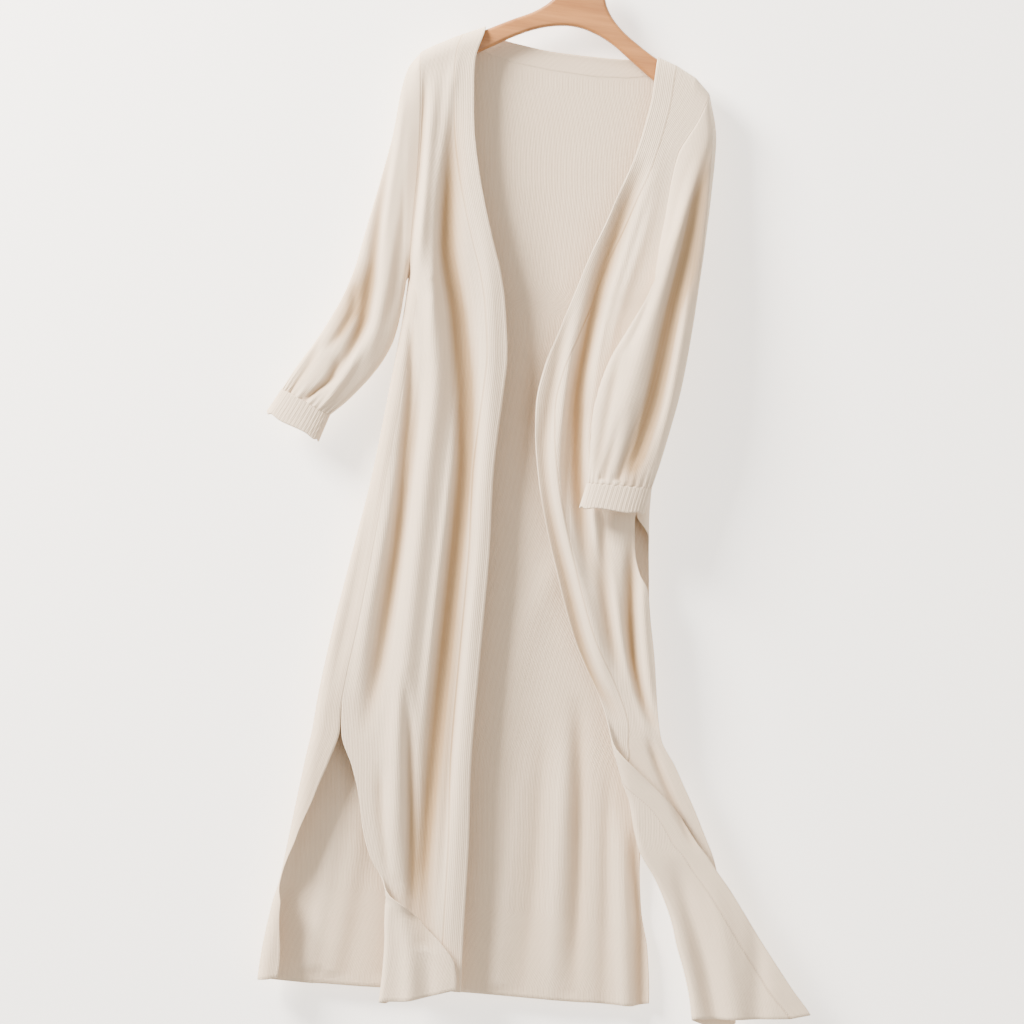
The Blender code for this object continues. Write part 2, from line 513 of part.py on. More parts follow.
def right_front_point(column, z, is_band):
    """Point of the front on the right or of its band, from the side to the free edge."""
    outermost, turn, tail = ease(RIGHT_EDGE, 1, z), np.radians(ease(RIGHT_EDGE, 2, z)), ease(RIGHT_EDGE, 3, z)
    step = RIGHT_SLOPE_STEP
    slope = (right_edge_x(z + step) - right_edge_x(z - step)) / (2 * step)
    band = BAND_WIDTH * np.sqrt(1 + slope * slope)
    met_x, met_turn = meeting_side(BACK_RIGHT, z)
    joined = (z < ARMPIT_Z) & (z > RIGHT_SLIT_TOP)
    side = np.where(joined, met_x, ease(RIGHT_SIDE, 1, z))
    straight = straight_length(side, outermost, turn, FLAP_RADIUS)
    end = straight + FLAP_RADIUS * turn + tail
    if is_band:
        along = end - band + BENT_SEAM + (band - BENT_SEAM) * column / RIGHT_BAND_COLUMNS
    else:
        first = RIGHT_FRONT_COLUMNS[0]
        crowding = 1 + RIGHT_SIDE_CROWDING * np.clip((z - RIGHT_CROWDED_FROM) / RIGHT_CROWDED_OVER, 0, 1)
        evened = np.where(column < first, first * (np.minimum(column, first) / first) ** crowding, column)
        along = column_place(evened, RIGHT_FRONT_COLUMNS, 0.0, straight, FLAP_RADIUS * turn, end - band)
    x, rise, turned = turned_point(side, outermost, turn, FLAP_RADIUS, along)
    y = -layer_depth(x, z) - rise - relief(RIGHT_FOLDS, x, z) - turned * relief(RIGHT_FLAP_FOLDS, x, z)
    into_turn = np.clip((x - side) / HALF_DEPTH + np.sin(met_turn), 0, 1)
    return x, y + np.where(z > RIGHT_WRAP_END, HALF_DEPTH * (1 - np.sqrt(1 - into_turn**2)), 0.0)


def top_of(point, line, columns):
    """Heights of a panel's top row, where its columns meet a line drawn across the garment."""
    z = np.full(len(columns), -0.16)
    for _ in range(25):
        z = line(point(columns, z)[0])
    return z


def hung_grid(point, line, hem, columns, low_rows):
    """Grid of points of a panel that hangs from its top line to its hem."""
    crown = max(z for _, z in SHOULDER_LINE)
    top = top_of(point, line, columns)
    low = ease(hem, 1, (columns - columns[0]) / (columns[-1] - columns[0]))
    levels = [crown - drop for drop in TOP_DROPS] + list(ROW_HEIGHTS) + list(low_rows)
    grid = np.zeros((len(levels), len(columns), 3))
    for i, level in enumerate(levels):
        by_top = np.clip((crown - TOP_FITTED - level) / (TOP_DROPS[4] - TOP_FITTED), 0, 1)
        by_hem = np.clip(1 - (level - levels[-1]) / HEM_FITTED, 0, 1)
        z = level + (top - crown) * by_top + (low - levels[-1]) * by_hem
        found = point(columns, z)
        grid[i] = np.stack([found[0], found[1], z], axis=1)
    return grid


def grid_normals(grid, closed):
    """Unit normals of a grid of points, seen from the side where rows run down and columns run on."""
    down = np.gradient(grid, axis=0)
    if closed:
        on = np.roll(grid, -1, axis=1) - np.roll(grid, 1, axis=1)
    else:
        on = np.gradient(grid, axis=1)
    normal = np.cross(down, on)
    normal /= np.maximum(np.linalg.norm(normal, axis=2, keepdims=True), 1e-12)
    if closed:
        normal = 2 * normal + np.roll(normal, -1, axis=1) + np.roll(normal, 1, axis=1)
        normal[0] += normal[1]
        normal /= np.linalg.norm(normal, axis=2, keepdims=True)
    return normal


def cloth_solid(name, grid, wall, closed=False, normal=None):
    """A wall of cloth with its middle on a grid of points, as one closed solid."""
    if normal is None:
        normal = grid_normals(grid, closed)
    layers = (grid + normal * wall / 2, grid - normal * wall / 2)
    rows, columns = grid.shape[:2]
    mesh = bpy.data.meshes.new(name)
    work = bmesh.new()
    points = [[[work.verts.new(p) for p in row] for row in layer] for layer in layers]
    spans = columns if closed else columns - 1
    for i in range(rows - 1):
        for j in range(spans):
            k = (j + 1) % columns
            falling = np.linalg.norm(grid[i, j] - grid[i + 1, k]) <= np.linalg.norm(grid[i, k] - grid[i + 1, j])
            for outward, layer in zip((True, False), points):
                corners = [layer[i][j], layer[i][k], layer[i + 1][k], layer[i + 1][j]]
                if not falling:
                    corners = corners[1:] + corners[:1]
                for half in ((corners[0], corners[1], corners[2]), (corners[0], corners[2], corners[3])):
                    work.faces.new(half if outward else half[::-1])
    for i in (0, rows - 1):
        for j in range(spans):
            k = (j + 1) % columns
            work.faces.new((points[0][i][k], points[0][i][j], points[1][i][j], points[1][i][k]))
    if not closed:
        for j in (0, columns - 1):
            for i in range(rows - 1):
                work.faces.new((points[0][i][j], points[0][i + 1][j], points[1][i + 1][j], points[1][i][j]))
    bmesh.ops.triangulate(work, faces=work.faces[:])
    bmesh.ops.recalc_face_normals(work, faces=work.faces[:])
    work.to_mesh(mesh)
    work.free()
    mesh.shade_smooth()
    mesh.set_sharp_from_angle(angle=math.radians(50))
    return bpy.data.objects.new(name, mesh)


def material(name, colour, roughness, metallic=0.0):
    """A plain Principled material."""
    made = bpy.data.materials.new(name)
    made.use_nodes = True
    shader = made.node_tree.nodes["Principled BSDF"]
    shader.inputs["Base Color"].default_value = (*colour, 1.0)
    shader.inputs["Roughness"].default_value = roughness
    shader.inputs["Metallic"].default_value = metallic
    return made


def place(collection, piece, finish):
    """Puts a piece in the collection with its material."""
    piece.data.materials.append(finish)
    collection.objects.link(piece)
    return piece


def under_neck_band(x):
    """Top line of the back panel: the shoulders, and between them the neck band's seam."""
    seam = [(row[2], row[3]) for row in NECK_LINE]
    xs, zs = zip(*seam)
    between = (x > xs[0]) & (x < xs[-1])
    return np.where(between, np.interp(x, xs, zs) - SEAM, shoulder_z(x))


def back_columns():
    """The back panel's columns, from its left side to its right side."""
    half = sum(BACK_COLUMNS)
    return np.arange(-half, half + 1, dtype=float)


def back_panel():
    """The back, from the neck and shoulders to the hem, brought round to the side seams."""
    grid = hung_grid(back_point, under_neck_band, BACK_HEM, back_columns(), BACK_LOW_ROWS)
    return cloth_solid("back_panel", grid, WALL)


def front_and_band(names, point, split, spans, hems, low_rows, band_first):
    """A front panel and the band along its free edge, whose walls face alike at their seam."""
    grids = []
    for is_band, hem in zip((False, True), hems):
        columns = np.arange((spans if is_band else sum(split)) + 1, dtype=float)

        def here(column, z, is_band=is_band):
            return point(column, z, is_band)
        grids.append(hung_grid(here, shoulder_z, hem, columns, low_rows))
    panel, band = grids
    across = band.shape[1]
    if band_first:
        normal = grid_normals(np.concatenate([band, panel], axis=1), False)
        band_normal, panel_normal = normal[:, :across], normal[:, across:]
    else:
        normal = grid_normals(np.concatenate([panel, band], axis=1), False)
        panel_normal, band_normal = normal[:, :-across], normal[:, -across:]
    return [
        cloth_solid(names[0], panel, WALL, normal=panel_normal),
        cloth_solid(names[1], band, WALL, normal=band_normal),
    ]


def neck_band():
    """The band round the back neck, sewn to the back panel's top between the shoulder lines."""
    columns = np.arange(-BACK_COLUMNS[0], BACK_COLUMNS[0] + 1, dtype=float)
    z = top_of(back_point, under_neck_band, columns)
    seam = np.stack([back_point(columns, z)[0], z], axis=1)
    keyed = sorted((row[2], row[0], row[1]) for row in NECK_LINE)
    free = np.stack([ease(keyed, 1, seam[:, 0]), ease(keyed, 2, seam[:, 0])], axis=1)
    apart = (free - seam) / np.linalg.norm(free - seam, axis=1, keepdims=True)
    grid = np.zeros((NECK_BAND_ROWS + 1, len(columns), 3))
    for i, share in enumerate(np.linspace(0, 1, NECK_BAND_ROWS + 1)):
        flat = free + (seam + apart * 2 * SEAM - free) * share
        grid[i] = np.stack([flat[:, 0], layer_depth(flat[:, 0], flat[:, 1]), flat[:, 1]], axis=1)
    return cloth_solid("neck_band_back", grid, WALL)


def armhole(point, last_column, inward, lowest):
    """Points down a panel's armhole, from the shoulder line to its lowest point, set off into the hole."""
    end = np.full(ARMHOLE_STEPS, float(last_column))
    top = top_of(point, shoulder_z, end)
    z = top + (lowest - top) * np.linspace(0, 1, ARMHOLE_STEPS)
    path = np.stack([*point(end, z), z], axis=1)
    within = np.stack([*point(end + inward * ARMHOLE_LOOK_IN, z), z], axis=1)
    down = np.gradient(path, axis=0)
    down /= np.linalg.norm(down, axis=1, keepdims=True)
    off = path - within
    off -= np.sum(off * down, axis=1, keepdims=True) * down
    off /= np.linalg.norm(off, axis=1, keepdims=True)
    off[:, 0] += ARMHOLE_OUTWARD * np.sign(path[:, 0])
    off[:, 1] = 0.0
    return path + ARMHOLE_GAP * off / np.linalg.norm(off, axis=1, keepdims=True)


def spread_along(path, shares):
    """Points at shares of a path's length."""
    walked = np.concatenate([[0], np.cumsum(np.linalg.norm(np.diff(path, axis=0), axis=1))])
    walked /= walked[-1]
    return np.stack([np.interp(shares, walked, path[:, k]) for k in range(3)], axis=1)


def sleeve_ring(row, angles):
    """One flattened ring of a sleeve, from its outer edge over the front to its inner edge and back."""
    outer_x, outer_z, outer_y, inner_x, inner_z, inner_y, depth, bow_x, bow_z = row
    share = (1 - np.cos(angles)) / 2
    swell = np.sign(np.sin(angles)) * np.abs(np.sin(angles)) ** SLEEVE_ROUNDNESS
    behind = np.clip(-np.sin(angles), 0, 1)
    x = outer_x + (inner_x - outer_x) * share + bow_x * behind
    z = outer_z + (inner_z - outer_z) * share + bow_z * behind
    return np.stack([x, outer_y + (inner_y - outer_y) * share - depth * swell, z], axis=1)


def sleeve_rings(front_hole, back_hole, front_share, rows, count):
    """Rings of a sleeve, the first round the armhole, as a smooth loft through the table's rings."""
    angles = 2 * math.pi * np.arange(SLEEVE_POINTS) / SLEEVE_POINTS
    share = (1 - np.cos(angles)) / 2
    kept = int(front_share * len(front_hole))
    over_front = front_hole[:kept]
    round_back = np.concatenate([back_hole, front_hole[kept - 1:][::-1]])
    in_front = (angles <= math.pi)[:, None]
    rings = [np.where(in_front, spread_along(over_front, share), spread_along(round_back, share))]
    rings += [sleeve_ring(row, angles) for row in rows]
    keyed = np.linspace(0, 1, len(rings))
    wanted = np.linspace(0, 1, count)
    made = np.zeros((count, SLEEVE_POINTS, 3))
    for j in range(SLEEVE_POINTS):
        for k in range(3):
            made[:, j, k] = ease([(u, ring[j, k]) for u, ring in zip(keyed, rings)], 1, wanted)
    return made


def sleeve(name, front_hole, back_hole, front_share, rows, folds):
    """A sleeve from its armhole to the seam of its cuff."""
    grid = sleeve_rings(front_hole, back_hole, front_share, rows, SLEEVE_RINGS)
    facing = np.clip(np.sin(2 * math.pi * np.arange(SLEEVE_POINTS) / SLEEVE_POINTS), 0, 1) ** 0.5
    settle = np.clip(np.arange(SLEEVE_RINGS) / SLEEVE_SETTLE_RINGS, 0, 1)[:, None]
    grid[:, :, 1] -= relief(folds, grid[:, :, 0], grid[:, :, 2]) * facing * settle
    return cloth_solid(name, grid, WALL, closed=True)


def cuff(name, last_row, end_row):
    """A cuff, which goes on from the end of its sleeve."""
    angles = 2 * math.pi * np.arange(SLEEVE_POINTS) / SLEEVE_POINTS
    start = sleeve_ring(last_row, angles)
    end = sleeve_ring(end_row, angles)
    gap = CUFF_GAP / np.linalg.norm(end - start, axis=1, keepdims=True)
    shares = np.linspace(0, 1, CUFF_RINGS)
    rings = [start + (end - start) * (gap + (1 - gap) * share) for share in shares]
    return cloth_solid(name, np.array(rings), CUFF_WALL, closed=True)


def hanger_wood(finish, collection):
    """The bent wooden hanger: a flat outline with rounded edges."""
    corners = HANGER_RIGHT + HANGER_LEFT[::-1]
    outline = bpy.data.curves.new("hanger_outline", "CURVE")
    outline.dimensions = "2D"
    outline.fill_mode = "BOTH"
    outline.extrude = WOOD_THICKNESS / 2 - WOOD_EDGE
    outline.bevel_depth = WOOD_EDGE
    outline.bevel_resolution = 2
    outline.offset = -WOOD_EDGE
    spline = outline.splines.new("BEZIER")
    spline.bezier_points.add(len(corners) - 1)
    for point, (x, z) in zip(spline.bezier_points, corners):
        point.co = (x, z, 0)
        point.handle_left_type = "AUTO"
        point.handle_right_type = "AUTO"
    spline.use_cyclic_u = True
    spline.resolution_u = 2
    shape = bpy.data.objects.new("hanger_outline", outline)
    shape.rotation_euler = (math.pi / 2, HANGER_TILT, 0)
    shape.rotation_mode = "XYZ"
    collection.objects.link(shape)
    bpy.context.view_layer.update()
    evaluated = shape.evaluated_get(bpy.context.evaluated_depsgraph_get())
    mesh = bpy.data.meshes.new_from_object(evaluated)
    mesh.transform(shape.matrix_world)
    bpy.data.objects.remove(shape)
    work = bmesh.new()
    work.from_mesh(mesh)
    bmesh.ops.remove_doubles(work, verts=work.verts[:], dist=MERGE_DISTANCE)
    bmesh.ops.recalc_face_normals(work, faces=work.faces[:])
    work.to_mesh(mesh)
    work.free()
    mesh.name = "hanger_wood"
    mesh.materials.clear()
    return place(collection, bpy.data.objects.new("hanger_wood", mesh), finish)


def bore_for_hook(wood, cutters):
    """The hole in the hanger's crown that takes the foot of the hook."""
    depth = HOOK_BORE_DEPTH
    bpy.ops.mesh.primitive_cylinder_add(vertices=16, radius=HOOK_WIRE + SEAM, depth=2 * depth)
    cutter = bpy.context.object
    cutter.name = "hook_bore"
    for owner in list(cutter.users_collection):
        owner.objects.unlink(cutter)
    cutters.objects.link(cutter)
    crown = HANGER_RIGHT[0][1]
    cutter.rotation_euler = (0, HANGER_TILT, 0)
    cutter.location = (crown * math.sin(HANGER_TILT), 0, crown * math.cos(HANGER_TILT))
    cutter.hide_render = True
    cutter.display_type = "WIRE"
    cut = wood.modifiers.new("hook_bore", "BOOLEAN")
    cut.operation = "DIFFERENCE"
    cut.object = cutter


def hanger_hook(finish, collection):
    """The steel hook: one bent wire, from its foot over the crown to its tip."""
    middle = HOOK_TOP - HOOK_RADIUS - HOOK_WIRE
    points = [(0.0, HOOK_FOOT), (0.0, HOOK_FOOT + HOOK_FOOT_LENGTH), *HOOK_NECK]
    for i in range(HOOK_STEPS + 1):
        angle = HOOK_START + HOOK_TURN * i / HOOK_STEPS
        points.append((HOOK_RADIUS * math.cos(angle), middle + HOOK_RADIUS * math.sin(angle)))
    wire = bpy.data.curves.new("hanger_hook", "CURVE")
    wire.dimensions = "3D"
    wire.bevel_depth = HOOK_WIRE
    wire.bevel_resolution = 2
    wire.use_fill_caps = True
    spline = wire.splines.new("POLY")
    spline.points.add(len(points) - 1)
    for point, (x, z) in zip(spline.points, points):
        point.co = (x, 0, z, 1)
    hook = place(collection, bpy.data.objects.new("hanger_hook", wire), finish)
    hook.rotation_euler = (0, HANGER_TILT, 0)
    return hook


def build():
    for item in list(bpy.data.objects):
        bpy.data.objects.remove(item)
    garment = bpy.data.collections.new("duster_cardigan")
    cutters = bpy.data.collections.new("cutters")
    for collection in (garment, cutters):
        bpy.context.scene.collection.children.link(collection)

    cloth = [back_panel(), neck_band()]
    cloth += front_and_band(
        ("front_panel_wearers_right", "front_band_wearers_right"), left_front_point,
        LEFT_FRONT_COLUMNS, LEFT_BAND_COLUMNS, (LEFT_HEM, LEFT_BAND_HEM), LEFT_LOW_ROWS, True,
    )
    cloth += front_and_band(
        ("front_panel_wearers_left", "front_band_wearers_left"), right_front_point,
        RIGHT_FRONT_COLUMNS, RIGHT_BAND_COLUMNS, (RIGHT_HEM, RIGHT_BAND_HEM), RIGHT_LOW_ROWS, False,
    )

    def left_side(column, z):
        return left_front_point(column, z, False)

    def right_side(column, z):
        return right_front_point(column, z, False)

    side = sum(BACK_COLUMNS)
    cloth.append(sleeve(
        "sleeve_wearers_right", armhole(left_side, sum(LEFT_FRONT_COLUMNS), -1, ARMPIT_Z),
        armhole(back_point, -side, 1, ARMPIT_Z), 1.0, LEFT_SLEEVE, LEFT_SLEEVE_FOLDS,
    ))
    cloth.append(sleeve(
        "sleeve_wearers_left", armhole(right_side, 0, 1, RIGHT_HOLE_LOW),
        armhole(back_point, side, -1, RIGHT_HOLE_LOW), RIGHT_FRONT_HOLE_SHARE, RIGHT_SLEEVE, RIGHT_SLEEVE_FOLDS,
    ))
    cloth.append(cuff("cuff_wearers_right", LEFT_SLEEVE[-1], LEFT_CUFF_END))
    cloth.append(cuff("cuff_wearers_left", RIGHT_SLEEVE[-1], RIGHT_CUFF_END))
    for piece in cloth:
        place(garment, piece, material(piece.name, CREAM, 0.9))
    wood = hanger_wood(material("hanger_wood", HONEY, 0.4), garment)
    bore_for_hook(wood, cutters)
    hanger_hook(material("hanger_hook", STEEL, 0.25, 1.0), garment)


build()
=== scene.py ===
"""The looks of a cream knit duster cardigan on a wooden hanger, over its CAD model.

Metres, +Z up, the wearer's front towards -Y. Each piece of cloth is a fine wall on
the form of its solid, with its smaller creases, its knit and its seams.
"""

import math

import bmesh
import bpy
import numpy as np
from mathutils import Matrix, Vector


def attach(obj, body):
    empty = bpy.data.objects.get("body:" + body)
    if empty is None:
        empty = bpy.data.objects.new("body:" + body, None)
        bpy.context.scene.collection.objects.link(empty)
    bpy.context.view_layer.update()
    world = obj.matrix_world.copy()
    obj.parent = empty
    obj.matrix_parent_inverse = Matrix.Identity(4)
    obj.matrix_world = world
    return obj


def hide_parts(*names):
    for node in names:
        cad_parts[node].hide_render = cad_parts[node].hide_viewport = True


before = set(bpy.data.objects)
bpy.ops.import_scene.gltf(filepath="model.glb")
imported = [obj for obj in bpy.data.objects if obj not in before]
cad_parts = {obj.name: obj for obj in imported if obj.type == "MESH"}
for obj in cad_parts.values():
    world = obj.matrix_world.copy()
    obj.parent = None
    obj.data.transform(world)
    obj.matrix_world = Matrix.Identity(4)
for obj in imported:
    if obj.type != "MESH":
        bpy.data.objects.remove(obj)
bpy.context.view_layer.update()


# Camera. The photograph looks straight at the front, turned 8 degrees in its own plane,
# and cuts off the hook, the top of the hanger and the tip of the turned-back front.
CAMERA_TURN = math.radians(8)
CAMERA_DISTANCE = 4.8
FRAME_WIDTH = 1.249
FRAME_CENTRE = (-0.003, 0.0, -0.722)

lens = bpy.data.cameras.new("camera")
lens.sensor_width = 36
lens.lens = lens.sensor_width * CAMERA_DISTANCE / FRAME_WIDTH
camera = bpy.data.objects.new("camera", lens)
bpy.context.scene.collection.objects.link(camera)
turn_cos, turn_sin = math.cos(CAMERA_TURN), math.sin(CAMERA_TURN)
camera.matrix_world = Matrix((
    (turn_cos, -turn_sin, 0, FRAME_CENTRE[0]),
    (0, 0, -1, FRAME_CENTRE[1] - CAMERA_DISTANCE),
    (turn_sin, turn_cos, 0, FRAME_CENTRE[2]),
    (0, 0, 0, 1),
))
bpy.context.scene.camera = camera


# Back panel. Plain fine knit, cut in one piece from the neck to the hem, linked to the
# fronts at the shoulders and the sides and left open below the side slits. It hangs
# from the hanger's arms and rounds forward at both sides.
WALL = 0.0014
SEAM = 0.0001
HALF_DEPTH = 0.014
SHOULDER_ROUND = 0.020
SHOULDER_GAP = 0.0003
ARMPIT_Z = -0.455
NECK_CORNER_SHARE = 0.76
NECK_CROWDING = 1.5
BACK_COLUMNS = (6, 2, 3, 1)
LEAST_COLUMN = 0.005
LEAST_SHARE = 0.8
TOP_FITTED = 0.200
TOP_FIRST_GUESS = -0.16
TOP_GUESSES = 25
TOP_ROUND = 0.020
HEM_FITTED = 0.120
HEM_LEVEL = -1.325
TOP_DROPS = (0.0, 0.0004, 0.0012, 0.0025, 0.0045, 0.0070, 0.0100, 0.0140, 0.0190, 0.0250, 0.0320, 0.0390)
ROW_STEP = 0.0050
BACK_FINE_COLUMNS = 132
RIM_ROUND = 0.4
MERGE_DISTANCE = 0.00001
WALE = 0.0019
BAND_WALE = 0.0022
COURSE = 0.0015
LOOP_SLANT = 1.6
BROAD_RIB = 3.3
CLOUD_SCALE = 34.0
FIBRE_SCALE = 900.0
# Painted shade over the whole back panel, and the share of the back's painted shade that is used.
BACK_PAINTED_SHADE = 0.30
BACK_SHADE_SHARE = 0.5
# Fold depth at which a crease gets its full painted shade.
CREASE_DEPTH = 0.009
BACK_SIDE_SHARE = 0.7
# The knit's own cream, and SHADOW, the darker warmer colour of the painted shade in creases and shaded
# places; the knit's random unevenness also leans towards it.
CREAM = (0.820, 0.670, 0.500)
SHADOW = (0.420, 0.270, 0.135)
SHOULDER_LINE = (
    (-0.2, -0.188), (-0.192, -0.183), (-0.175, -0.1715), (-0.15, -0.157), (-0.117, -0.1405),
    (0.0965, -0.1485), (0.12, -0.1555), (0.145, -0.167), (0.163, -0.183), (0.172, -0.195),
)
NECK_LINE = (
    (-0.117, -0.1405, -0.141, -0.1525), (-0.108, -0.147, -0.128, -0.164),
    (-0.095, -0.152, -0.108, -0.172), (-0.072, -0.155, -0.078, -0.1775),
    (-0.03, -0.158, -0.03, -0.1805), (0.026, -0.157, 0.022, -0.181), (0.06, -0.155, 0.064, -0.177),
    (0.08, -0.1525, 0.09, -0.171), (0.09, -0.1505, 0.108, -0.163), (0.0965, -0.1485, 0.12, -0.1555),
)
BACK_LEFT = (
    (-0.13, -0.19, 0, 0), (-0.184, -0.19, 0, 0), (-0.215, -0.186, 0, 0), (-0.26, -0.18, 0, 0),
    (-0.33, -0.174, 0, 0), (-0.4, -0.171, 0, 0), (-0.43, -0.169, 25, 0), (-0.455, -0.1675, 90, 0),
    (-0.48, -0.167, 180, 0), (-0.6, -0.172, 180, 0.002), (-0.7, -0.178, 180, 0.004),
    (-0.8, -0.189, 180, 0.011), (-0.9, -0.2, 180, 0.016), (-0.982, -0.206, 180, 0.016),
    (-1.017, -0.207, 180, 0.019), (-1.05, -0.21, 180, 0.015), (-1.091, -0.213, 180, 0.007),
    (-1.15, -0.217, 160, 0), (-1.206, -0.221, 110, 0), (-1.235, -0.226, 165, 0),
    (-1.31, -0.231, 180, 0.01), (-1.34, -0.231, 180, 0.01),
)
BACK_RIGHT = (
    (-0.13, 0.164, 0, 0), (-0.184, 0.164, 0, 0), (-0.215, 0.167, 0, 0), (-0.26, 0.168, 0, 0),
    (-0.33, 0.166, 0, 0), (-0.4, 0.163, 0, 0), (-0.43, 0.162, 25, 0), (-0.455, 0.161, 90, 0),
    (-0.48, 0.16, 180, 0), (-0.6, 0.159, 180, 0), (-0.688, 0.162, 180, 0.003),
    (-0.703, 0.163, 175, 0.003), (-0.74, 0.168, 60, 0), (-0.78, 0.174, 20, 0), (-0.834, 0.182, 0, 0),
    (-0.874, 0.19, 0, 0), (-0.924, 0.199, 0, 0), (-1, 0.205, 0, 0), (-1.111, 0.21, 0, 0),
    (-1.182, 0.221, 0, 0), (-1.228, 0.235, 0, 0), (-1.292, 0.246, 0, 0), (-1.34, 0.25, 0, 0),
)
BACK_HEM = ((0.00, -1.322), (0.10, -1.329), (0.35, -1.323), (0.55, -1.310), (0.80, -1.301), (1.00, -1.294))
BACK_FOLDS = (
    ((-0.93, 0.108, 0.01, 0), (-1, 0.119, 0.01, -0.005), (-1.1, 0.133, 0.01, -0.007),
     (-1.2, 0.144, 0.01, -0.006), (-1.3, 0.152, 0.011, -0.001)),
    ((-0.95, 0.098, 0.012, 0), (-1.08, 0.109, 0.012, 0.004), (-1.24, 0.121, 0.012, 0.003),
     (-1.31, 0.126, 0.012, 0.001)),
    ((-1.06, 0.176, 0.01, 0), (-1.12, 0.188, 0.01, 0.004), (-1.22, 0.205, 0.01, 0.006),
     (-1.31, 0.22, 0.01, 0.005)),
    ((-1.08, 0.2, 0.008, 0), (-1.14, 0.209, 0.008, -0.006), (-1.2, 0.222, 0.008, -0.008),
     (-1.31, 0.24, 0.009, -0.006)),
)
BACK_CREASES = (
    ((-0.96, 0.07, 0.008, 0), (-1.06, 0.078, 0.008, -0.0022), (-1.18, 0.086, 0.009, -0.0026),
     (-1.3, 0.09, 0.009, -0.001)),
    ((-1, 0.052, 0.008, 0), (-1.12, 0.055, 0.009, 0.0018), (-1.3, 0.06, 0.01, 0.0022)),
    ((-1.01, 0.158, 0.006, 0), (-1.09, 0.166, 0.006, -0.0026), (-1.2, 0.18, 0.007, -0.003),
     (-1.31, 0.192, 0.008, -0.0018)),
    ((-1.06, -0.16, 0.01, 0), (-1.16, -0.165, 0.011, 0.002), (-1.31, -0.172, 0.012, 0.0024)),
    ((-1.1, -0.12, 0.012, 0), (-1.2, -0.122, 0.012, -0.0018), (-1.31, -0.128, 0.012, -0.0022)),
    ((-0.18, -0.02, 0.03, 0), (-0.3, -0.014, 0.034, -0.0012), (-0.56, 0.006, 0.03, -0.0014),
     (-0.76, 0.012, 0.026, 0)),
)
BACK_SIDE_CREASES = (
    ((-0.47, -0.12, 0.016, 0), (-0.6, -0.112, 0.018, 0.005), (-0.8, -0.118, 0.018, 0.006),
     (-1.05, -0.13, 0.02, 0.005), (-1.31, -0.14, 0.02, 0.004)),
    ((-0.52, -0.07, 0.018, 0), (-0.7, -0.06, 0.02, -0.0045), (-0.9, -0.058, 0.02, -0.005),
     (-1.31, -0.066, 0.022, -0.003)),
    ((-0.48, 0.115, 0.016, 0), (-0.64, 0.105, 0.018, 0.0045), (-0.9, 0.03, 0.02, 0.003),
     (-1.31, 0.02, 0.02, 0.002)),
)
LEFT_FOLDS = (
    ((-0.215, -0.152, 0.014, 0), (-0.3, -0.139, 0.015, -0.007), (-0.4, -0.128, 0.015, -0.011),
     (-0.5, -0.1, 0.015, -0.012), (-0.6, -0.077, 0.016, -0.012), (-0.7, -0.065, 0.015, -0.012),
     (-0.85, -0.06, 0.014, -0.012), (-1, -0.055, 0.014, -0.011), (-1.15, -0.049, 0.013, -0.009),
     (-1.26, -0.035, 0.013, -0.002)),
    ((-0.29, -0.16, 0.012, 0), (-0.4, -0.156, 0.013, 0.006), (-0.5, -0.131, 0.014, 0.01),
     (-0.6, -0.116, 0.014, 0.01), (-0.7, -0.113, 0.014, 0.009), (-0.85, -0.108, 0.014, 0.008),
     (-1, -0.103, 0.013, 0.007), (-1.1, -0.093, 0.012, 0.006), (-1.18, -0.082, 0.012, 0.001)),
    ((-0.55, -0.14, 0.01, 0), (-0.65, -0.134, 0.011, -0.007), (-0.8, -0.135, 0.012, -0.009),
     (-0.92, -0.138, 0.011, -0.007), (-1.02, -0.144, 0.01, 0)),
    ((-0.66, -0.15, 0.009, 0), (-0.78, -0.154, 0.009, 0.004), (-0.9, -0.16, 0.01, 0.004),
     (-0.99, -0.158, 0.01, 0)),
    ((-0.34, -0.101, 0.012, 0), (-0.45, -0.068, 0.012, 0.004), (-0.6, -0.048, 0.013, 0.005),
     (-0.8, -0.038, 0.013, 0.004), (-1, -0.022, 0.013, 0.004), (-1.2, -0.008, 0.013, 0.003),
     (-1.31, 0.002, 0.013, 0)),
)
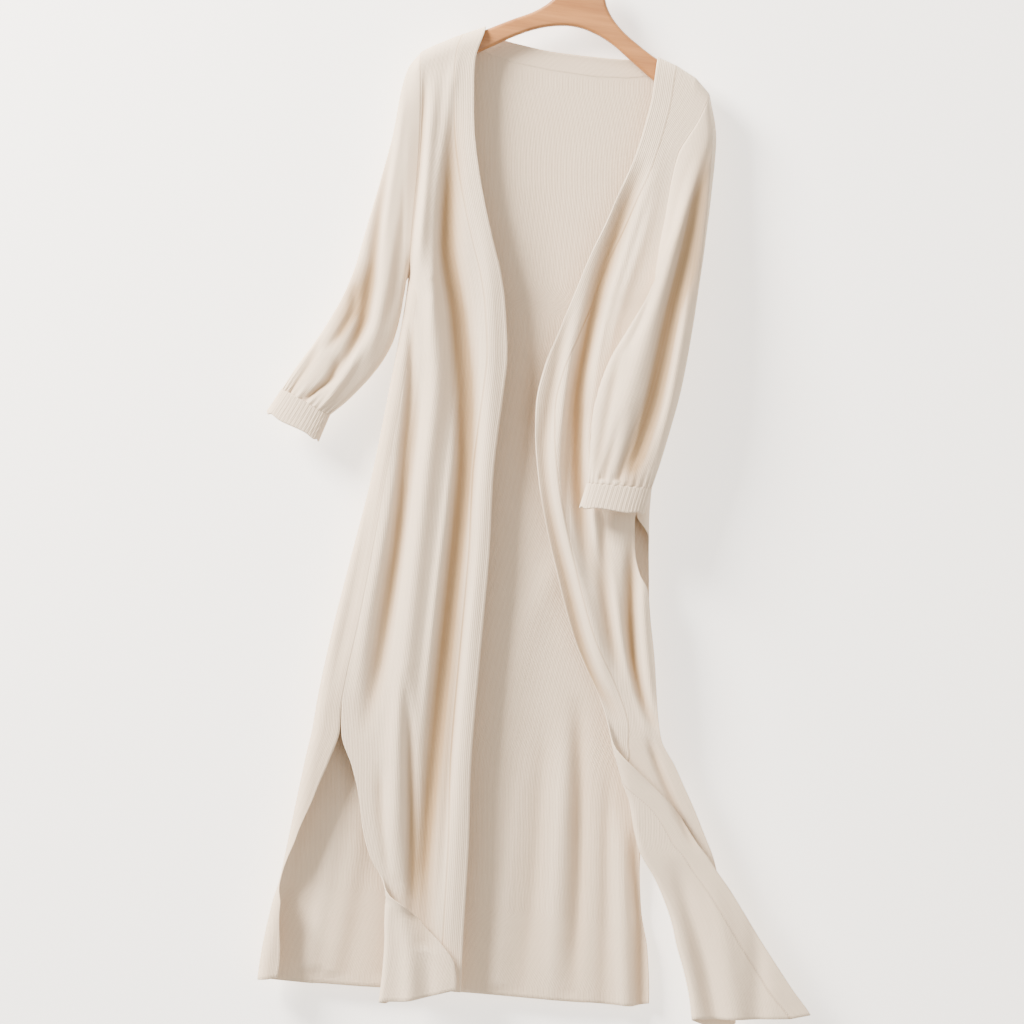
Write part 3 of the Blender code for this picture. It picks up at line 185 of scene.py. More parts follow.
LEFT_CREASES = (
    ((-0.93, -0.106, 0.006, 0), (-1, -0.092, 0.007, -0.0056), (-1.1, -0.074, 0.008, -0.0077),
     (-1.18, -0.062, 0.008, -0.0063), (-1.25, -0.05, 0.008, 0)),
    ((-0.2, -0.182, 0.005, 0), (-0.26, -0.177, 0.005, -0.0049), (-0.35, -0.171, 0.005, -0.0063),
     (-0.44, -0.168, 0.005, -0.0063), (-0.5, -0.167, 0.005, -0.0028), (-0.56, -0.165, 0.006, 0)),
    ((-0.48, -0.17, 0.005, 0), (-0.52, -0.156, 0.006, -0.0042), (-0.6, -0.146, 0.006, -0.0049),
     (-0.7, -0.143, 0.006, -0.0028), (-0.78, -0.141, 0.006, 0)),
    ((-0.17, -0.146, 0.006, 0), (-0.23, -0.149, 0.007, 0.0028), (-0.33, -0.148, 0.007, 0.0036),
     (-0.45, -0.138, 0.006, 0.0028), (-0.56, -0.126, 0.006, 0)),
    ((-0.2, -0.168, 0.006, 0), (-0.28, -0.165, 0.007, 0.0031), (-0.38, -0.161, 0.007, 0.0036),
     (-0.47, -0.157, 0.006, 0)),
    ((-0.56, -0.092, 0.005, 0), (-0.68, -0.084, 0.006, 0.0031), (-0.86, -0.08, 0.006, 0.0036),
     (-1.02, -0.074, 0.006, 0)),
    ((-0.64, -0.172, 0.006, 0), (-0.76, -0.176, 0.007, -0.0031), (-0.9, -0.186, 0.008, -0.0036),
     (-0.98, -0.192, 0.008, 0)),
    ((-0.7, -0.044, 0.005, 0), (-0.86, -0.042, 0.006, -0.0028), (-1.06, -0.034, 0.006, -0.0034),
     (-1.22, -0.022, 0.006, 0)),
    ((-1.04, -0.118, 0.008, 0), (-1.09, -0.112, 0.008, -0.0031), (-1.16, -0.096, 0.007, -0.0025),
     (-1.19, -0.088, 0.006, 0)),
)
RIGHT_FOLDS = (
    ((-0.45, 0.036, 0.009, 0), (-0.52, 0.028, 0.009, -0.004), (-0.62, 0.024, 0.01, -0.005),
     (-0.7, 0.04, 0.01, -0.006), (-0.8, 0.077, 0.011, -0.008), (-0.9, 0.118, 0.011, -0.008),
     (-0.96, 0.165, 0.01, 0)),
    ((-0.27, 0.098, 0.011, 0), (-0.35, 0.08, 0.012, -0.008), (-0.45, 0.064, 0.012, -0.01),
     (-0.55, 0.058, 0.012, -0.011), (-0.65, 0.068, 0.012, -0.01), (-0.74, 0.087, 0.011, -0.006),
     (-0.81, 0.108, 0.01, 0)),
    ((-0.42, 0.048, 0.01, 0), (-0.55, 0.04, 0.01, 0.004), (-0.65, 0.042, 0.011, 0.005),
     (-0.75, 0.071, 0.011, 0.005), (-0.85, 0.114, 0.012, 0.005), (-0.93, 0.15, 0.011, 0)),
    ((-0.25, 0.112, 0.012, 0), (-0.35, 0.105, 0.012, 0.004), (-0.45, 0.087, 0.011, 0.006),
     (-0.53, 0.075, 0.01, 0.004), (-0.59, 0.07, 0.01, 0)),
    ((-0.69, 0.106, 0.009, 0), (-0.75, 0.112, 0.009, -0.005), (-0.85, 0.135, 0.009, -0.006),
     (-0.91, 0.156, 0.009, 0)),
    ((-0.715, 0.144, 0.008, 0), (-0.79, 0.153, 0.008, -0.008), (-0.87, 0.166, 0.009, -0.01),
     (-0.92, 0.183, 0.009, -0.008), (-0.965, 0.208, 0.009, 0)),
)
RIGHT_CREASES = (
    ((-0.74, 0.16, 0.005, 0), (-0.82, 0.172, 0.006, 0.0034), (-0.9, 0.19, 0.006, 0.0036),
     (-0.95, 0.204, 0.006, 0)),
    ((-0.3, 0.112, 0.006, 0), (-0.38, 0.099, 0.006, -0.0034), (-0.47, 0.084, 0.006, -0.0036),
     (-0.56, 0.076, 0.006, 0)),
    ((-0.5, 0.046, 0.004, 0), (-0.6, 0.048, 0.005, -0.0028), (-0.7, 0.06, 0.005, -0.0031),
     (-0.78, 0.086, 0.005, 0)),
    ((-0.56, 0.07, 0.005, 0), (-0.64, 0.079, 0.006, 0.0034), (-0.72, 0.098, 0.006, 0.0034),
     (-0.8, 0.122, 0.006, 0)),
    ((-0.76, 0.124, 0.005, 0), (-0.84, 0.146, 0.006, 0.0034), (-0.92, 0.176, 0.006, 0.0028),
     (-0.99, 0.212, 0.006, 0)),
    ((-0.96, 0.196, 0.006, 0), (-1, 0.214, 0.006, -0.0042), (-1.06, 0.25, 0.006, -0.0042),
     (-1.1, 0.276, 0.006, 0)),
)


def ease(rows, column, at):
    """Smooth value of a table's column at a place in its first column, without overshoot."""
    ordered = sorted(rows)
    place = np.array([row[0] for row in ordered], float)
    value = np.array([row[column] for row in ordered], float)
    step = np.diff(place)
    slope = np.diff(value) / step
    same = slope[:-1] * slope[1:] > 0
    tilt = np.zeros(len(place))
    both = np.where(same, slope[:-1] + slope[1:], 1.0)
    tilt[1:-1] = np.where(same, 2 * slope[:-1] * slope[1:] / both, 0.0)
    tilt[0], tilt[-1] = slope[0], slope[-1]
    at = np.clip(at, place[0], place[-1])
    i = np.clip(np.searchsorted(place, at) - 1, 0, len(step) - 1)
    h = step[i]
    u = (at - place[i]) / h
    start = (1 + 2 * u) * (1 - u) ** 2 * value[i] + u * (1 - u) ** 2 * h * tilt[i]
    end = u * u * (3 - 2 * u) * value[i + 1] - u * u * (1 - u) * h * tilt[i + 1]
    return start + end


def relief(folds, x, z):
    """Height of a layer's folds towards the front, at points of its flat plan."""
    total = np.zeros_like(x)
    for rows in folds:
        inside = (z <= rows[0][0]) & (z >= rows[-1][0])
        off = (x - ease(rows, 1, z)) / ease(rows, 2, z)
        total += np.where(inside, ease(rows, 3, z) * np.exp(-off * off), 0.0)
    return total


def shoulder_z(x):
    """Height of the shoulder line over a place across the garment."""
    xs, zs = zip(*SHOULDER_LINE)
    return np.interp(x, xs, zs)


def layer_depth(x, z):
    """How far the cloth lies from the middle plane: none on the shoulder line, all below its round."""
    drop = np.clip((shoulder_z(x) - z) / SHOULDER_ROUND, 0.0, 1.0)
    return SHOULDER_GAP + (HALF_DEPTH - SHOULDER_GAP) * np.sqrt(drop * (2 - drop))


def straight_length(anchor, outermost, turn, radius):
    """Length of a level section's straight part, from its anchor to the start of its turn."""
    return np.abs(outermost - anchor) - radius * np.sin(np.minimum(turn, math.pi / 2))


def turned_point(anchor, outermost, turn, radius, along):
    """Place across, rise out of the plane and turned share of a point so far along a section."""
    side = np.sign(outermost - anchor)
    straight = straight_length(anchor, outermost, turn, radius)
    angle = np.clip((along - straight) / radius, 0.0, turn)
    past = np.maximum(along - straight - radius * turn, 0.0)
    across = np.minimum(along, straight) + radius * np.sin(angle) + past * np.cos(turn)
    rise = radius * (1 - np.cos(angle)) + past * np.sin(turn)
    return anchor + side * across, rise, (1 - np.cos(angle)) / 2


def column_place(column, split, start, straight, bend, end):
    """How far along a section a column lies, so that the same columns always go round the turn."""
    first, around, last = split
    least = np.minimum(LEAST_COLUMN, LEAST_SHARE * (end - start) / sum(split))
    turn_end = np.minimum(straight + bend, end - last * least)
    main_end = np.minimum(straight, turn_end - around * least)
    on_main = start + (main_end - start) * np.minimum(column / first, 1.0)
    on_turn = (turn_end - main_end) * np.clip((column - first) / around, 0.0, 1.0)
    on_tail = (end - turn_end) * np.clip((column - first - around) / last, 0.0, 1.0)
    return on_main + on_turn + on_tail


def back_side(rows, z):
    """Outermost x, turn in radians and tail of one side of the back panel."""
    return ease(rows, 1, z), np.radians(ease(rows, 2, z)), ease(rows, 3, z)


def back_half_point(rows, column, z):
    """Point of one half of the back panel, at a column counted from its middle."""
    outermost, turn, tail = back_side(rows, z)
    straight = straight_length(0.0, outermost, turn, HALF_DEPTH)
    neck, shoulder, around, last = BACK_COLUMNS
    inner = NECK_CORNER_SHARE * (1 - np.clip(1 - column / neck, 0.0, 1.0) ** NECK_CROWDING)
    outer = (1 - NECK_CORNER_SHARE) * np.clip((column - neck) / shoulder, 0.0, 1.0)
    first = neck + shoulder
    evened = np.where(column < first, (inner + outer) * first, column)
    along = column_place(
        evened, (first, around, last), 0.0, straight, HALF_DEPTH * turn, straight + HALF_DEPTH * turn + tail
    )
    x, rise, turned = turned_point(0.0, outermost, turn, HALF_DEPTH, along)
    front = relief(LEFT_FOLDS + LEFT_CREASES if rows is BACK_LEFT else RIGHT_FOLDS + RIGHT_CREASES, x, z)
    own = relief(BACK_FOLDS + BACK_CREASES, x, z)
    return x, layer_depth(x, z) - rise - (1 - turned) * own - turned * front


def back_point(column, z):
    """Point of the back panel: columns below 0 lie left of its middle, the rest right."""
    left_x, left_y = back_half_point(BACK_LEFT, np.maximum(-column, 0), z)
    right_x, right_y = back_half_point(BACK_RIGHT, np.maximum(column, 0), z)
    return np.where(column < 0, left_x, right_x), np.where(column < 0, left_y, right_y)


def under_neck_band(x):
    """Top line of the back panel: the shoulders, and between them the neck band's seam."""
    xs = [row[2] for row in NECK_LINE]
    zs = [row[3] for row in NECK_LINE]
    between = (x > xs[0]) & (x < xs[-1])
    return np.where(between, np.interp(x, xs, zs) - SEAM, shoulder_z(x))


def top_of(point, line, columns):
    """Heights of a panel's top row, where its columns meet a line drawn across the garment."""
    z = np.full(len(columns), TOP_FIRST_GUESS)
    for _ in range(TOP_GUESSES):
        z = line(point(columns, z)[0])
    return z


def hung_grid(point, line, hem, columns):
    """Fine grid of points of a panel that hangs from its top line to its hem."""
    crown = max(z for _, z in SHOULDER_LINE)
    top = top_of(point, line, columns)
    low = ease(hem, 1, (columns - columns[0]) / (columns[-1] - columns[0]))
    rows = round((crown - TOP_DROPS[-1] - HEM_LEVEL) / ROW_STEP)
    even = np.linspace(crown - TOP_DROPS[-1], HEM_LEVEL, rows)
    levels = np.concatenate([crown - np.array(TOP_DROPS[:-1]), even])
    grid = np.zeros((len(levels), len(columns), 3))
    for i, level in enumerate(levels):
        by_top = np.clip((crown - TOP_FITTED - level) / (TOP_ROUND - TOP_FITTED), 0, 1)
        by_hem = np.clip(1 - (level - HEM_LEVEL) / HEM_FITTED, 0, 1)
        z = level + (top - crown) * by_top + (low - HEM_LEVEL) * by_hem
        found = point(columns, z)
        grid[i] = np.stack([found[0], found[1], z], axis=1)
    return grid


def grid_normals(grid, closed):
    """Unit normals of a grid of points, towards the wearer's front on a front panel."""
    down = np.gradient(grid, axis=0)
    if closed:
        on = np.roll(grid, -1, axis=1) - np.roll(grid, 1, axis=1)
    else:
        on = np.gradient(grid, axis=1)
    normal = np.cross(down, on)
    return normal / np.maximum(np.linalg.norm(normal, axis=2, keepdims=True), 1e-12)


def walked(grid, axis):
    """Distance walked along one axis of a grid of points, from its first row or column."""
    step = np.linalg.norm(np.diff(grid, axis=axis), axis=2)
    start = np.zeros_like(np.take(step, [0], axis=axis))
    return np.concatenate([start, np.cumsum(step, axis=axis)], axis=axis)


def cloth_wall(name, grid, wall, painted_shade, closed=False, normal=None):
    """A wall of cloth with rounded raw edges, its knit mapped in metres, and its creases' painted shade."""
    if normal is None:
        normal = grid_normals(grid, closed)
    rows, columns = grid.shape[:2]
    layers = [grid + normal * wall / 2, grid - normal * wall / 2]
    across = walked(grid, 1)
    down = walked(grid, 0).mean(axis=1, keepdims=True) + np.zeros((1, columns))
    points = np.concatenate([layer.reshape(-1, 3) for layer in layers])
    place = np.stack([across, down], axis=2).reshape(-1, 2)
    index = np.arange(rows * columns).reshape(rows, columns)
    other = index + rows * columns
    spans = columns if closed else columns - 1

    def beside(numbers):
        return np.roll(numbers, -1, axis=1)[:, :spans]
    quads = []
    for side, numbers in ((1, index), (-1, other)):
        a, b = numbers[:-1, :spans], beside(numbers)[:-1]
        c, d = beside(numbers)[1:], numbers[1:, :spans]
        corners = (a, b, c, d) if side == 1 else (a, d, c, b)
        quads.append(np.stack(corners, axis=-1).reshape(-1, 4))

    rims = [(index[0], other[0], grid[0] - grid[1]), (index[-1], other[-1], grid[-1] - grid[-2])]
    if not closed:
        rims.append((index[:, 0], other[:, 0], grid[:, 0] - grid[:, 1]))
        rims.append((index[:, -1], other[:, -1], grid[:, -1] - grid[:, -2]))
    extra, extra_place, count = [], [], len(points)
    for k, (near, far, outward) in enumerate(rims):
        outward = outward / np.maximum(np.linalg.norm(outward, axis=1, keepdims=True), 1e-9)
        middle = (points[near] + points[far]) / 2 + outward * wall * RIM_ROUND
        number = count + np.arange(len(near))
        count += len(near)
        extra.append(middle)
        extra_place.append(place[near])
        flip = k in (0, 3)
        for one, two in ((near, number), (number, far)):
            if closed:
                ends = (one, np.roll(one, -1), np.roll(two, -1), two)
            else:
                ends = (one[:-1], one[1:], two[1:], two[:-1])
            ends = ends[::-1] if flip else ends
            quads.append(np.stack(ends, axis=-1))
    points = np.concatenate([points] + extra)
    place = np.concatenate([place, place] + extra_place)
    shade = np.concatenate([painted_shade.ravel(), painted_shade.ravel()] + [np.zeros(len(e)) for e in extra])
    faces = np.concatenate(quads)
    mesh = bpy.data.meshes.new(name)
    mesh.from_pydata(points.tolist(), [], faces.tolist())
    knit_map = mesh.uv_layers.new(name="knit")
    corner = np.empty(len(mesh.loops), dtype=np.int32)
    mesh.loops.foreach_get("vertex_index", corner)
    knit_map.data.foreach_set("uv", place[corner].astype(np.float32).ravel())
    # The painted shade of each point, kept as an attribute for the knit's colour.
    held = mesh.attributes.new("painted_shade", "FLOAT", "POINT")
    held.data.foreach_set("value", shade.astype(np.float32))
    work = bmesh.new()
    work.from_mesh(mesh)
    bmesh.ops.remove_doubles(work, verts=work.verts[:], dist=MERGE_DISTANCE)
    bmesh.ops.recalc_face_normals(work, faces=work.faces[:])
    work.to_mesh(mesh)
    work.free()
    mesh.shade_smooth()
    piece = bpy.data.objects.new(name, mesh)
    bpy.context.scene.collection.objects.link(piece)
    return piece


class Socket:
    """A value in a shader, so that its maths reads as maths."""

    def __init__(self, tree, value):
        self.tree = tree
        self.value = value

    def node(self, kind, inputs=(), settings=None, output=0):
        """Adds any node, fills its inputs by name or number, and gives one of its outputs."""
        made = self.tree.nodes.new(kind)
        for key, setting in (settings or {}).items():
            setattr(made, key, setting)
        for key, given in dict(inputs).items():
            if isinstance(given, Socket):
                self.tree.links.new(given.value, made.inputs[key])
            else:
                made.inputs[key].default_value = given
        return Socket(self.tree, made.outputs[output])

    def maths(self, operation, *others):
        return self.node("ShaderNodeMath", dict(enumerate((self, *others))), {"operation": operation})

    def __add__(self, other):
        return self.maths("ADD", other)

    def __sub__(self, other):
        return self.maths("SUBTRACT", other)

    def __rsub__(self, other):
        return self.node("ShaderNodeMath", {0: other, 1: self}, {"operation": "SUBTRACT"})

    def __mul__(self, other):
        return self.maths("MULTIPLY", other)

    __radd__ = __add__
    __rmul__ = __mul__

    def clamped(self):
        return self.maths("MAXIMUM", 0.0).maths("MINIMUM", 1.0)


def new_shader(name):
    """A new material, with a first socket to build on and its Principled node."""
    made = bpy.data.materials.new(name)
    made.use_nodes = True
    tree = made.node_tree
    return made, Socket(tree, None), tree.nodes["Principled BSDF"]


def mixed(start, share, one, two):
    """A colour between two, by a share."""
    inputs = {0: share, 6: one, 7: two}
    return start.node("ShaderNodeMix", inputs, {"data_type": "RGBA"}, output=2)


def knit(name, wale):
    """Fine knit: columns of loops as a bump, its tone uneven, and painted shade, warmer and darker, in its
    creases.
    """
    made, start, shader = new_shader(name)
    place = start.node("ShaderNodeUVMap", settings={"uv_map": "knit"})
    parts = start.node("ShaderNodeSeparateXYZ", {0: place})
    across, down = parts, Socket(parts.tree, parts.value.node.outputs[1])
    phase = across * (2 * math.pi / wale)
    rib = phase.maths("COSINE")
    slant = phase.maths("SINE").maths("ABSOLUTE") * LOOP_SLANT
    loop = (down * (2 * math.pi / COURSE) + slant).maths("SINE")
    broad = (across * (2 * math.pi / (wale * BROAD_RIB))).maths("COSINE")
    cloud = start.node("ShaderNodeTexNoise", {"Vector": place, "Scale": CLOUD_SCALE, "Detail": 3.0})
    fine = start.node("ShaderNodeTexNoise", {"Vector": place, "Scale": FIBRE_SCALE, "Detail": 2.0})
    height = rib * 0.5 + loop * 0.35 + broad * 0.22 + fine * 0.5
    bump = start.node("ShaderNodeBump", {"Strength": 0.5, "Distance": 0.0005, "Height": height})
    # Painted shade: the attribute darkens the cream towards SHADOW in creases and shaded places.
    painted_crease_shade = start.node("ShaderNodeAttribute", settings={"attribute_name": "painted_shade"}, output=2)
    uneven = (cloud - 0.5) * 0.10 + broad * 0.030 + rib * 0.020
    share = (painted_crease_shade + uneven).clamped()
    colour = mixed(start, share, (*CREAM, 1.0), (*SHADOW, 1.0))
    start.tree.links.new(colour.value, shader.inputs["Base Color"])
    start.tree.links.new(bump.value, shader.inputs["Normal"])
    shader.inputs["Roughness"].default_value = 0.92
    shader.inputs["Sheen Weight"].default_value = 0.25
    shader.inputs["Sheen Roughness"].default_value = 0.6
    shader.inputs["Specular IOR Level"].default_value = 0.15
    return made


def stand_in(piece, finish, node):
    """Gives a piece its finish, sets it under the root and hides the part of the model it stands for."""
    piece.data.materials.clear()
    piece.data.materials.append(finish)
    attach(piece, "root")
    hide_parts(node)


def dress(piece, finish, node):
    """Stands a piece of cloth in for its node."""
    stand_in(piece, finish, node)


half = sum(BACK_COLUMNS)
columns = np.linspace(-half, half, BACK_FINE_COLUMNS + 1)
grid = hung_grid(back_point, under_neck_band, BACK_HEM, columns)
sides = relief(BACK_SIDE_CREASES, grid[:, :, 0], grid[:, :, 2])
grid[:, :, 1] -= sides * BACK_SIDE_SHARE
# Painted shade on the back panel: even over all of it, deeper in the valleys of its folds, less on their
# ridges.
creased = relief(BACK_FOLDS + BACK_CREASES, grid[:, :, 0], grid[:, :, 2]) / CREASE_DEPTH
painted_shade = np.clip(BACK_PAINTED_SHADE - creased, 0.0, 1.0)
piece = cloth_wall("back_panel_knit", grid, WALL, painted_shade * BACK_SHADE_SHARE)
dress(piece, knit("back_panel_knit", WALE), "back_panel")


# Front on the left of the view, the wearer's right. Plain fine knit with a doubled band
# of the same knit linked along its free edge. Its folds fall from the shoulder, and the
# lower corner of the slit is turned forward.
FLAP_RADIUS = 0.006
BAND_WIDTH = 0.024
# Painted shade added along the seam between a front and its band.
SEAM_PAINTED_SHADE = 0.45
BENT_SEAM = 0.0003
ARMPIT_GAP = 0.0004
ARMPIT_GAP_DROP = 0.012
ARMPIT_GAP_REACH = 0.016
WIDEST_MET_TURN = math.pi / 2 * 0.96
LEFT_SLOPE_STEP = 0.004
LEFT_FRONT_COLUMNS = (10, 2, 4)
LEFT_BAND_COLUMNS = 2
LEFT_EDGE = (
    (-0.13, -0.117), (-0.1405, -0.117), (-0.182, -0.124), (-0.23, -0.119), (-0.268, -0.113),
    (-0.315, -0.101), (-0.355, -0.088), (-0.398, -0.072), (-0.436, -0.057), (-0.476, -0.046),
    (-0.554, -0.034), (-0.655, -0.033), (-0.784, -0.023), (-0.907, -0.017), (-1.02, -0.011),
    (-1.133, 0.001), (-1.245, 0.01), (-1.309, 0.016), (-1.345, 0.019),
)
LEFT_SIDE = (
    (-0.982, -0.175, 0, 0), (-1.019, -0.17, 0, 0), (-1.056, -0.152, 0, 0), (-1.09, -0.139, 0, 0),
    (-1.131, -0.128, 0, 0), (-1.165, -0.113, 0, 0), (-1.176, -0.104, 15, 0), (-1.19, -0.0945, 75, 0),
    (-1.203, -0.0905, 130, 0.004), (-1.214, -0.089, 165, 0.019), (-1.226, -0.0878, 180, 0.034),
    (-1.238, -0.0865, 180, 0.046), (-1.254, -0.084, 180, 0.064), (-1.275, -0.082, 180, 0.08),
    (-1.304, -0.0805, 180, 0.0845), (-1.345, -0.08, 180, 0.0845),
)
LEFT_HEM = ((0.00, -1.310), (0.35, -1.316), (0.48, -1.322), (0.62, -1.335), (0.80, -1.329), (1.00, -1.306))
LEFT_BAND_HEM = ((0.00, -1.309), (1.00, -1.310))
LEFT_FLAP_FOLDS = (
    ((-1.225, -0.07, 0.01, 0), (-1.27, -0.052, 0.01, 0.004), (-1.34, -0.042, 0.011, 0.006)),
    ((-1.24, -0.04, 0.01, 0), (-1.285, -0.026, 0.01, -0.003), (-1.34, -0.02, 0.01, -0.003)),
)
LEFT_FINE_COLUMNS = 96
LEFT_BAND_FINE = 12


def meeting_side(rows, z):
    """Outermost x and turn of a front whose side meets the back panel's side, edge to edge."""
    outermost, turn, tail = back_side(rows, z)
    inward = -np.sign(outermost)
    set_in = np.where(turn > math.pi / 2, HALF_DEPTH * (1 - np.sin(turn)), 0.0)
    met = np.where(z < ARMPIT_Z, math.pi - turn, turn)
    gap = SEAM + ARMPIT_GAP * np.exp(-(((z - ARMPIT_Z + ARMPIT_GAP_DROP) / ARMPIT_GAP_REACH) ** 2))
    return outermost + inward * (set_in + tail + gap), np.clip(met, 0.0, WIDEST_MET_TURN)


def left_front_point(column, z, is_band):
    """Point of the front on the left or of its band, from the free edge to the side."""
    step = LEFT_SLOPE_STEP
    slope = (ease(LEFT_EDGE, 1, z + step) - ease(LEFT_EDGE, 1, z - step)) / (2 * step)
    band = BAND_WIDTH * np.sqrt(1 + slope * slope)
    edge = ease(LEFT_EDGE, 1, z)
    met_x, met_turn = meeting_side(BACK_LEFT, z)
    free = z < LEFT_SIDE[0][0]
    outermost = np.where(free, ease(LEFT_SIDE, 1, z), met_x)
    turn = np.where(free, np.radians(ease(LEFT_SIDE, 2, z)), met_turn)
    tail = np.where(free, ease(LEFT_SIDE, 3, z), 0.0)
    radius = np.where(free, FLAP_RADIUS, HALF_DEPTH)
    straight = straight_length(edge, outermost, turn, radius)
    if is_band:
        along = band * column / LEFT_BAND_COLUMNS
    else:
        end = straight + radius * turn + tail
        along = column_place(column, LEFT_FRONT_COLUMNS, band + BENT_SEAM, straight, radius * turn, end)
    x, rise, turned = turned_point(edge, outermost, turn, radius, along)
    rise = np.where(free, -rise, rise)
    over = np.where(free, turned, 0.0) * relief(LEFT_FLAP_FOLDS, x, z)
    return x, -layer_depth(x, z) + rise - relief(LEFT_FOLDS + LEFT_CREASES, x, z) - over


def front_and_band(names, point, split, spans, fine, hems, band_first, finishes, nodes):
    """A front panel and the band along its free edge, whose walls face alike at their seam."""
    grids = []
    for is_band, hem, count in zip((False, True), hems, fine):
        columns = np.linspace(0, spans if is_band else sum(split), count + 1)

        def here(column, z, is_band=is_band):
            return point(column, z, is_band)
        grids.append(hung_grid(here, shoulder_z, hem, columns))
    order = (1, 0) if band_first else (0, 1)
    normal = grid_normals(np.concatenate([grids[order[0]], grids[order[1]]], axis=1), False)
    across = grids[order[0]].shape[1]
    split_normal = {order[0]: normal[:, :across], order[1]: normal[:, across:]}
    made = []
    for k, name in enumerate(names):
        grid = grids[k]
        folds = LEFT_FOLDS + LEFT_CREASES if band_first else RIGHT_FOLDS + RIGHT_CREASES
        # Painted shade: darker in the valleys of the folds, and a dark line along the seam between the front
        # and its band.
        painted_shade = np.clip(-relief(folds, grid[:, :, 0], grid[:, :, 2]) / CREASE_DEPTH, 0.0, 1.0)
        beside_seam = 0 if bool(k) != band_first else -1
        painted_shade[:, beside_seam] = np.clip(painted_shade[:, beside_seam] + SEAM_PAINTED_SHADE, 0, 1)
        piece = cloth_wall(name, grid, WALL, painted_shade, normal=split_normal[k])
        dress(piece, finishes[k], nodes[k])
        made.append(piece)
    return made, grids


left_pieces, left_grids = front_and_band(
    ("front_knit_wearers_right", "band_knit_wearers_right"), left_front_point,
    LEFT_FRONT_COLUMNS, LEFT_BAND_COLUMNS, (LEFT_FINE_COLUMNS, LEFT_BAND_FINE),
    (LEFT_HEM, LEFT_BAND_HEM), True,
    (knit("front_knit_wearers_right", WALE),
     knit("band_knit_wearers_right", BAND_WALE)),
    ("front_panel_wearers_right", "front_band_wearers_right"),
)


# Front on the right of the view, the wearer's left, and its band. The same knit; it swings
# out below the hips, and its free edge is turned back on itself there.
RIGHT_SLIT_TOP = -0.703
RIGHT_WRAP_END = -0.480
RIGHT_SIDE_CROWDING = 0.6
RIGHT_CROWDED_FROM = -0.560
RIGHT_CROWDED_OVER = 0.080
RIGHT_SLOPE_STEP = 0.008
RIGHT_FRONT_COLUMNS = (10, 3, 5)
RIGHT_BAND_COLUMNS = 4
RIGHT_SIDE = (
    (-0.13, 0.163), (-0.183, 0.163), (-0.215, 0.156), (-0.24, 0.145), (-0.262, 0.136), (-0.3, 0.132),
    (-0.34, 0.131), (-0.377, 0.129), (-0.41, 0.129), (-0.43, 0.134), (-0.445, 0.146), (-0.455, 0.161),
    (-0.703, 0.1455), (-0.745, 0.151), (-0.775, 0.161), (-0.793, 0.173), (-0.834, 0.183),
    (-0.874, 0.193), (-0.924, 0.203), (-0.947, 0.208), (-0.973, 0.216), (-0.999, 0.235), (-1.023, 0.25),
    (-1.045, 0.264), (-1.078, 0.283), (-1.105, 0.298), (-1.12, 0.304), (-1.163, 0.32), (-1.216, 0.336),
    (-1.277, 0.349), (-1.34, 0.358),
)
RIGHT_EDGE = (
    (-0.13, 0.096, 0, 0), (-0.149, 0.096, 0, 0), (-0.195, 0.096, 0, 0), (-0.235, 0.092, 0, 0),
    (-0.279, 0.084, 0, 0), (-0.32, 0.072, 0, 0), (-0.353, 0.063, 0, 0), (-0.401, 0.048, 0, 0),
    (-0.452, 0.035, 0, 0), (-0.502, 0.022, 0, 0), (-0.542, 0.012, 0, 0), (-0.58, 0.008, 0, 0),
    (-0.622, 0.012, 0, 0), (-0.679, 0.024, 0, 0), (-0.724, 0.038, 0, 0), (-0.771, 0.055, 0, 0),
    (-0.866, 0.095, 0, 0), (-0.929, 0.133, 0, 0), (-0.948, 0.143, 20, 0), (-0.97, 0.152, 85, 0),
    (-0.988, 0.158, 128, 0.003), (-1.002, 0.164, 155, 0.011), (-1.018, 0.171, 175, 0.023),
    (-1.034, 0.1785, 180, 0.036), (-1.048, 0.186, 180, 0.047), (-1.089, 0.2, 180, 0.069),
    (-1.108, 0.208, 180, 0.08), (-1.14, 0.232, 180, 0.085), (-1.163, 0.246, 180, 0.09),
    (-1.189, 0.259, 180, 0.098), (-1.216, 0.269, 180, 0.111), (-1.246, 0.282, 180, 0.124),
    (-1.277, 0.293, 180, 0.142), (-1.34, 0.308, 180, 0.165),
)
RIGHT_HEM = ((0.00, -1.300), (0.22, -1.309), (0.50, -1.306), (0.75, -1.298), (1.00, -1.284))
RIGHT_BAND_HEM = ((0.00, -1.284), (1.00, -1.276))
RIGHT_FLAP_FOLDS = (
    ((-1.11, 0.252, 0.012, 0), (-1.16, 0.272, 0.012, -0.005), (-1.22, 0.3, 0.012, -0.006),
     (-1.34, 0.34, 0.013, -0.005)),
    ((-1.15, 0.252, 0.01, 0), (-1.22, 0.28, 0.011, 0.004), (-1.34, 0.325, 0.012, 0.004)),
    ((-1.15, 0.352, 0.011, 0), (-1.23, 0.37, 0.012, -0.004), (-1.34, 0.384, 0.014, -0.004)),
    ((-1.12, 0.29, 0.013, 0), (-1.2, 0.325, 0.014, 0.004), (-1.34, 0.362, 0.015, 0.004)),
)
RIGHT_FINE_COLUMNS = 112
RIGHT_BAND_FINE = 16


def right_edge_x(z):
    """Place of the free edge of the front on the right, turned back or not."""
    turned = np.clip(ease(RIGHT_EDGE, 2, z) / 180, 0, 1)
    return ease(RIGHT_EDGE, 1, z) + turned * FLAP_RADIUS + ease(RIGHT_EDGE, 3, z)


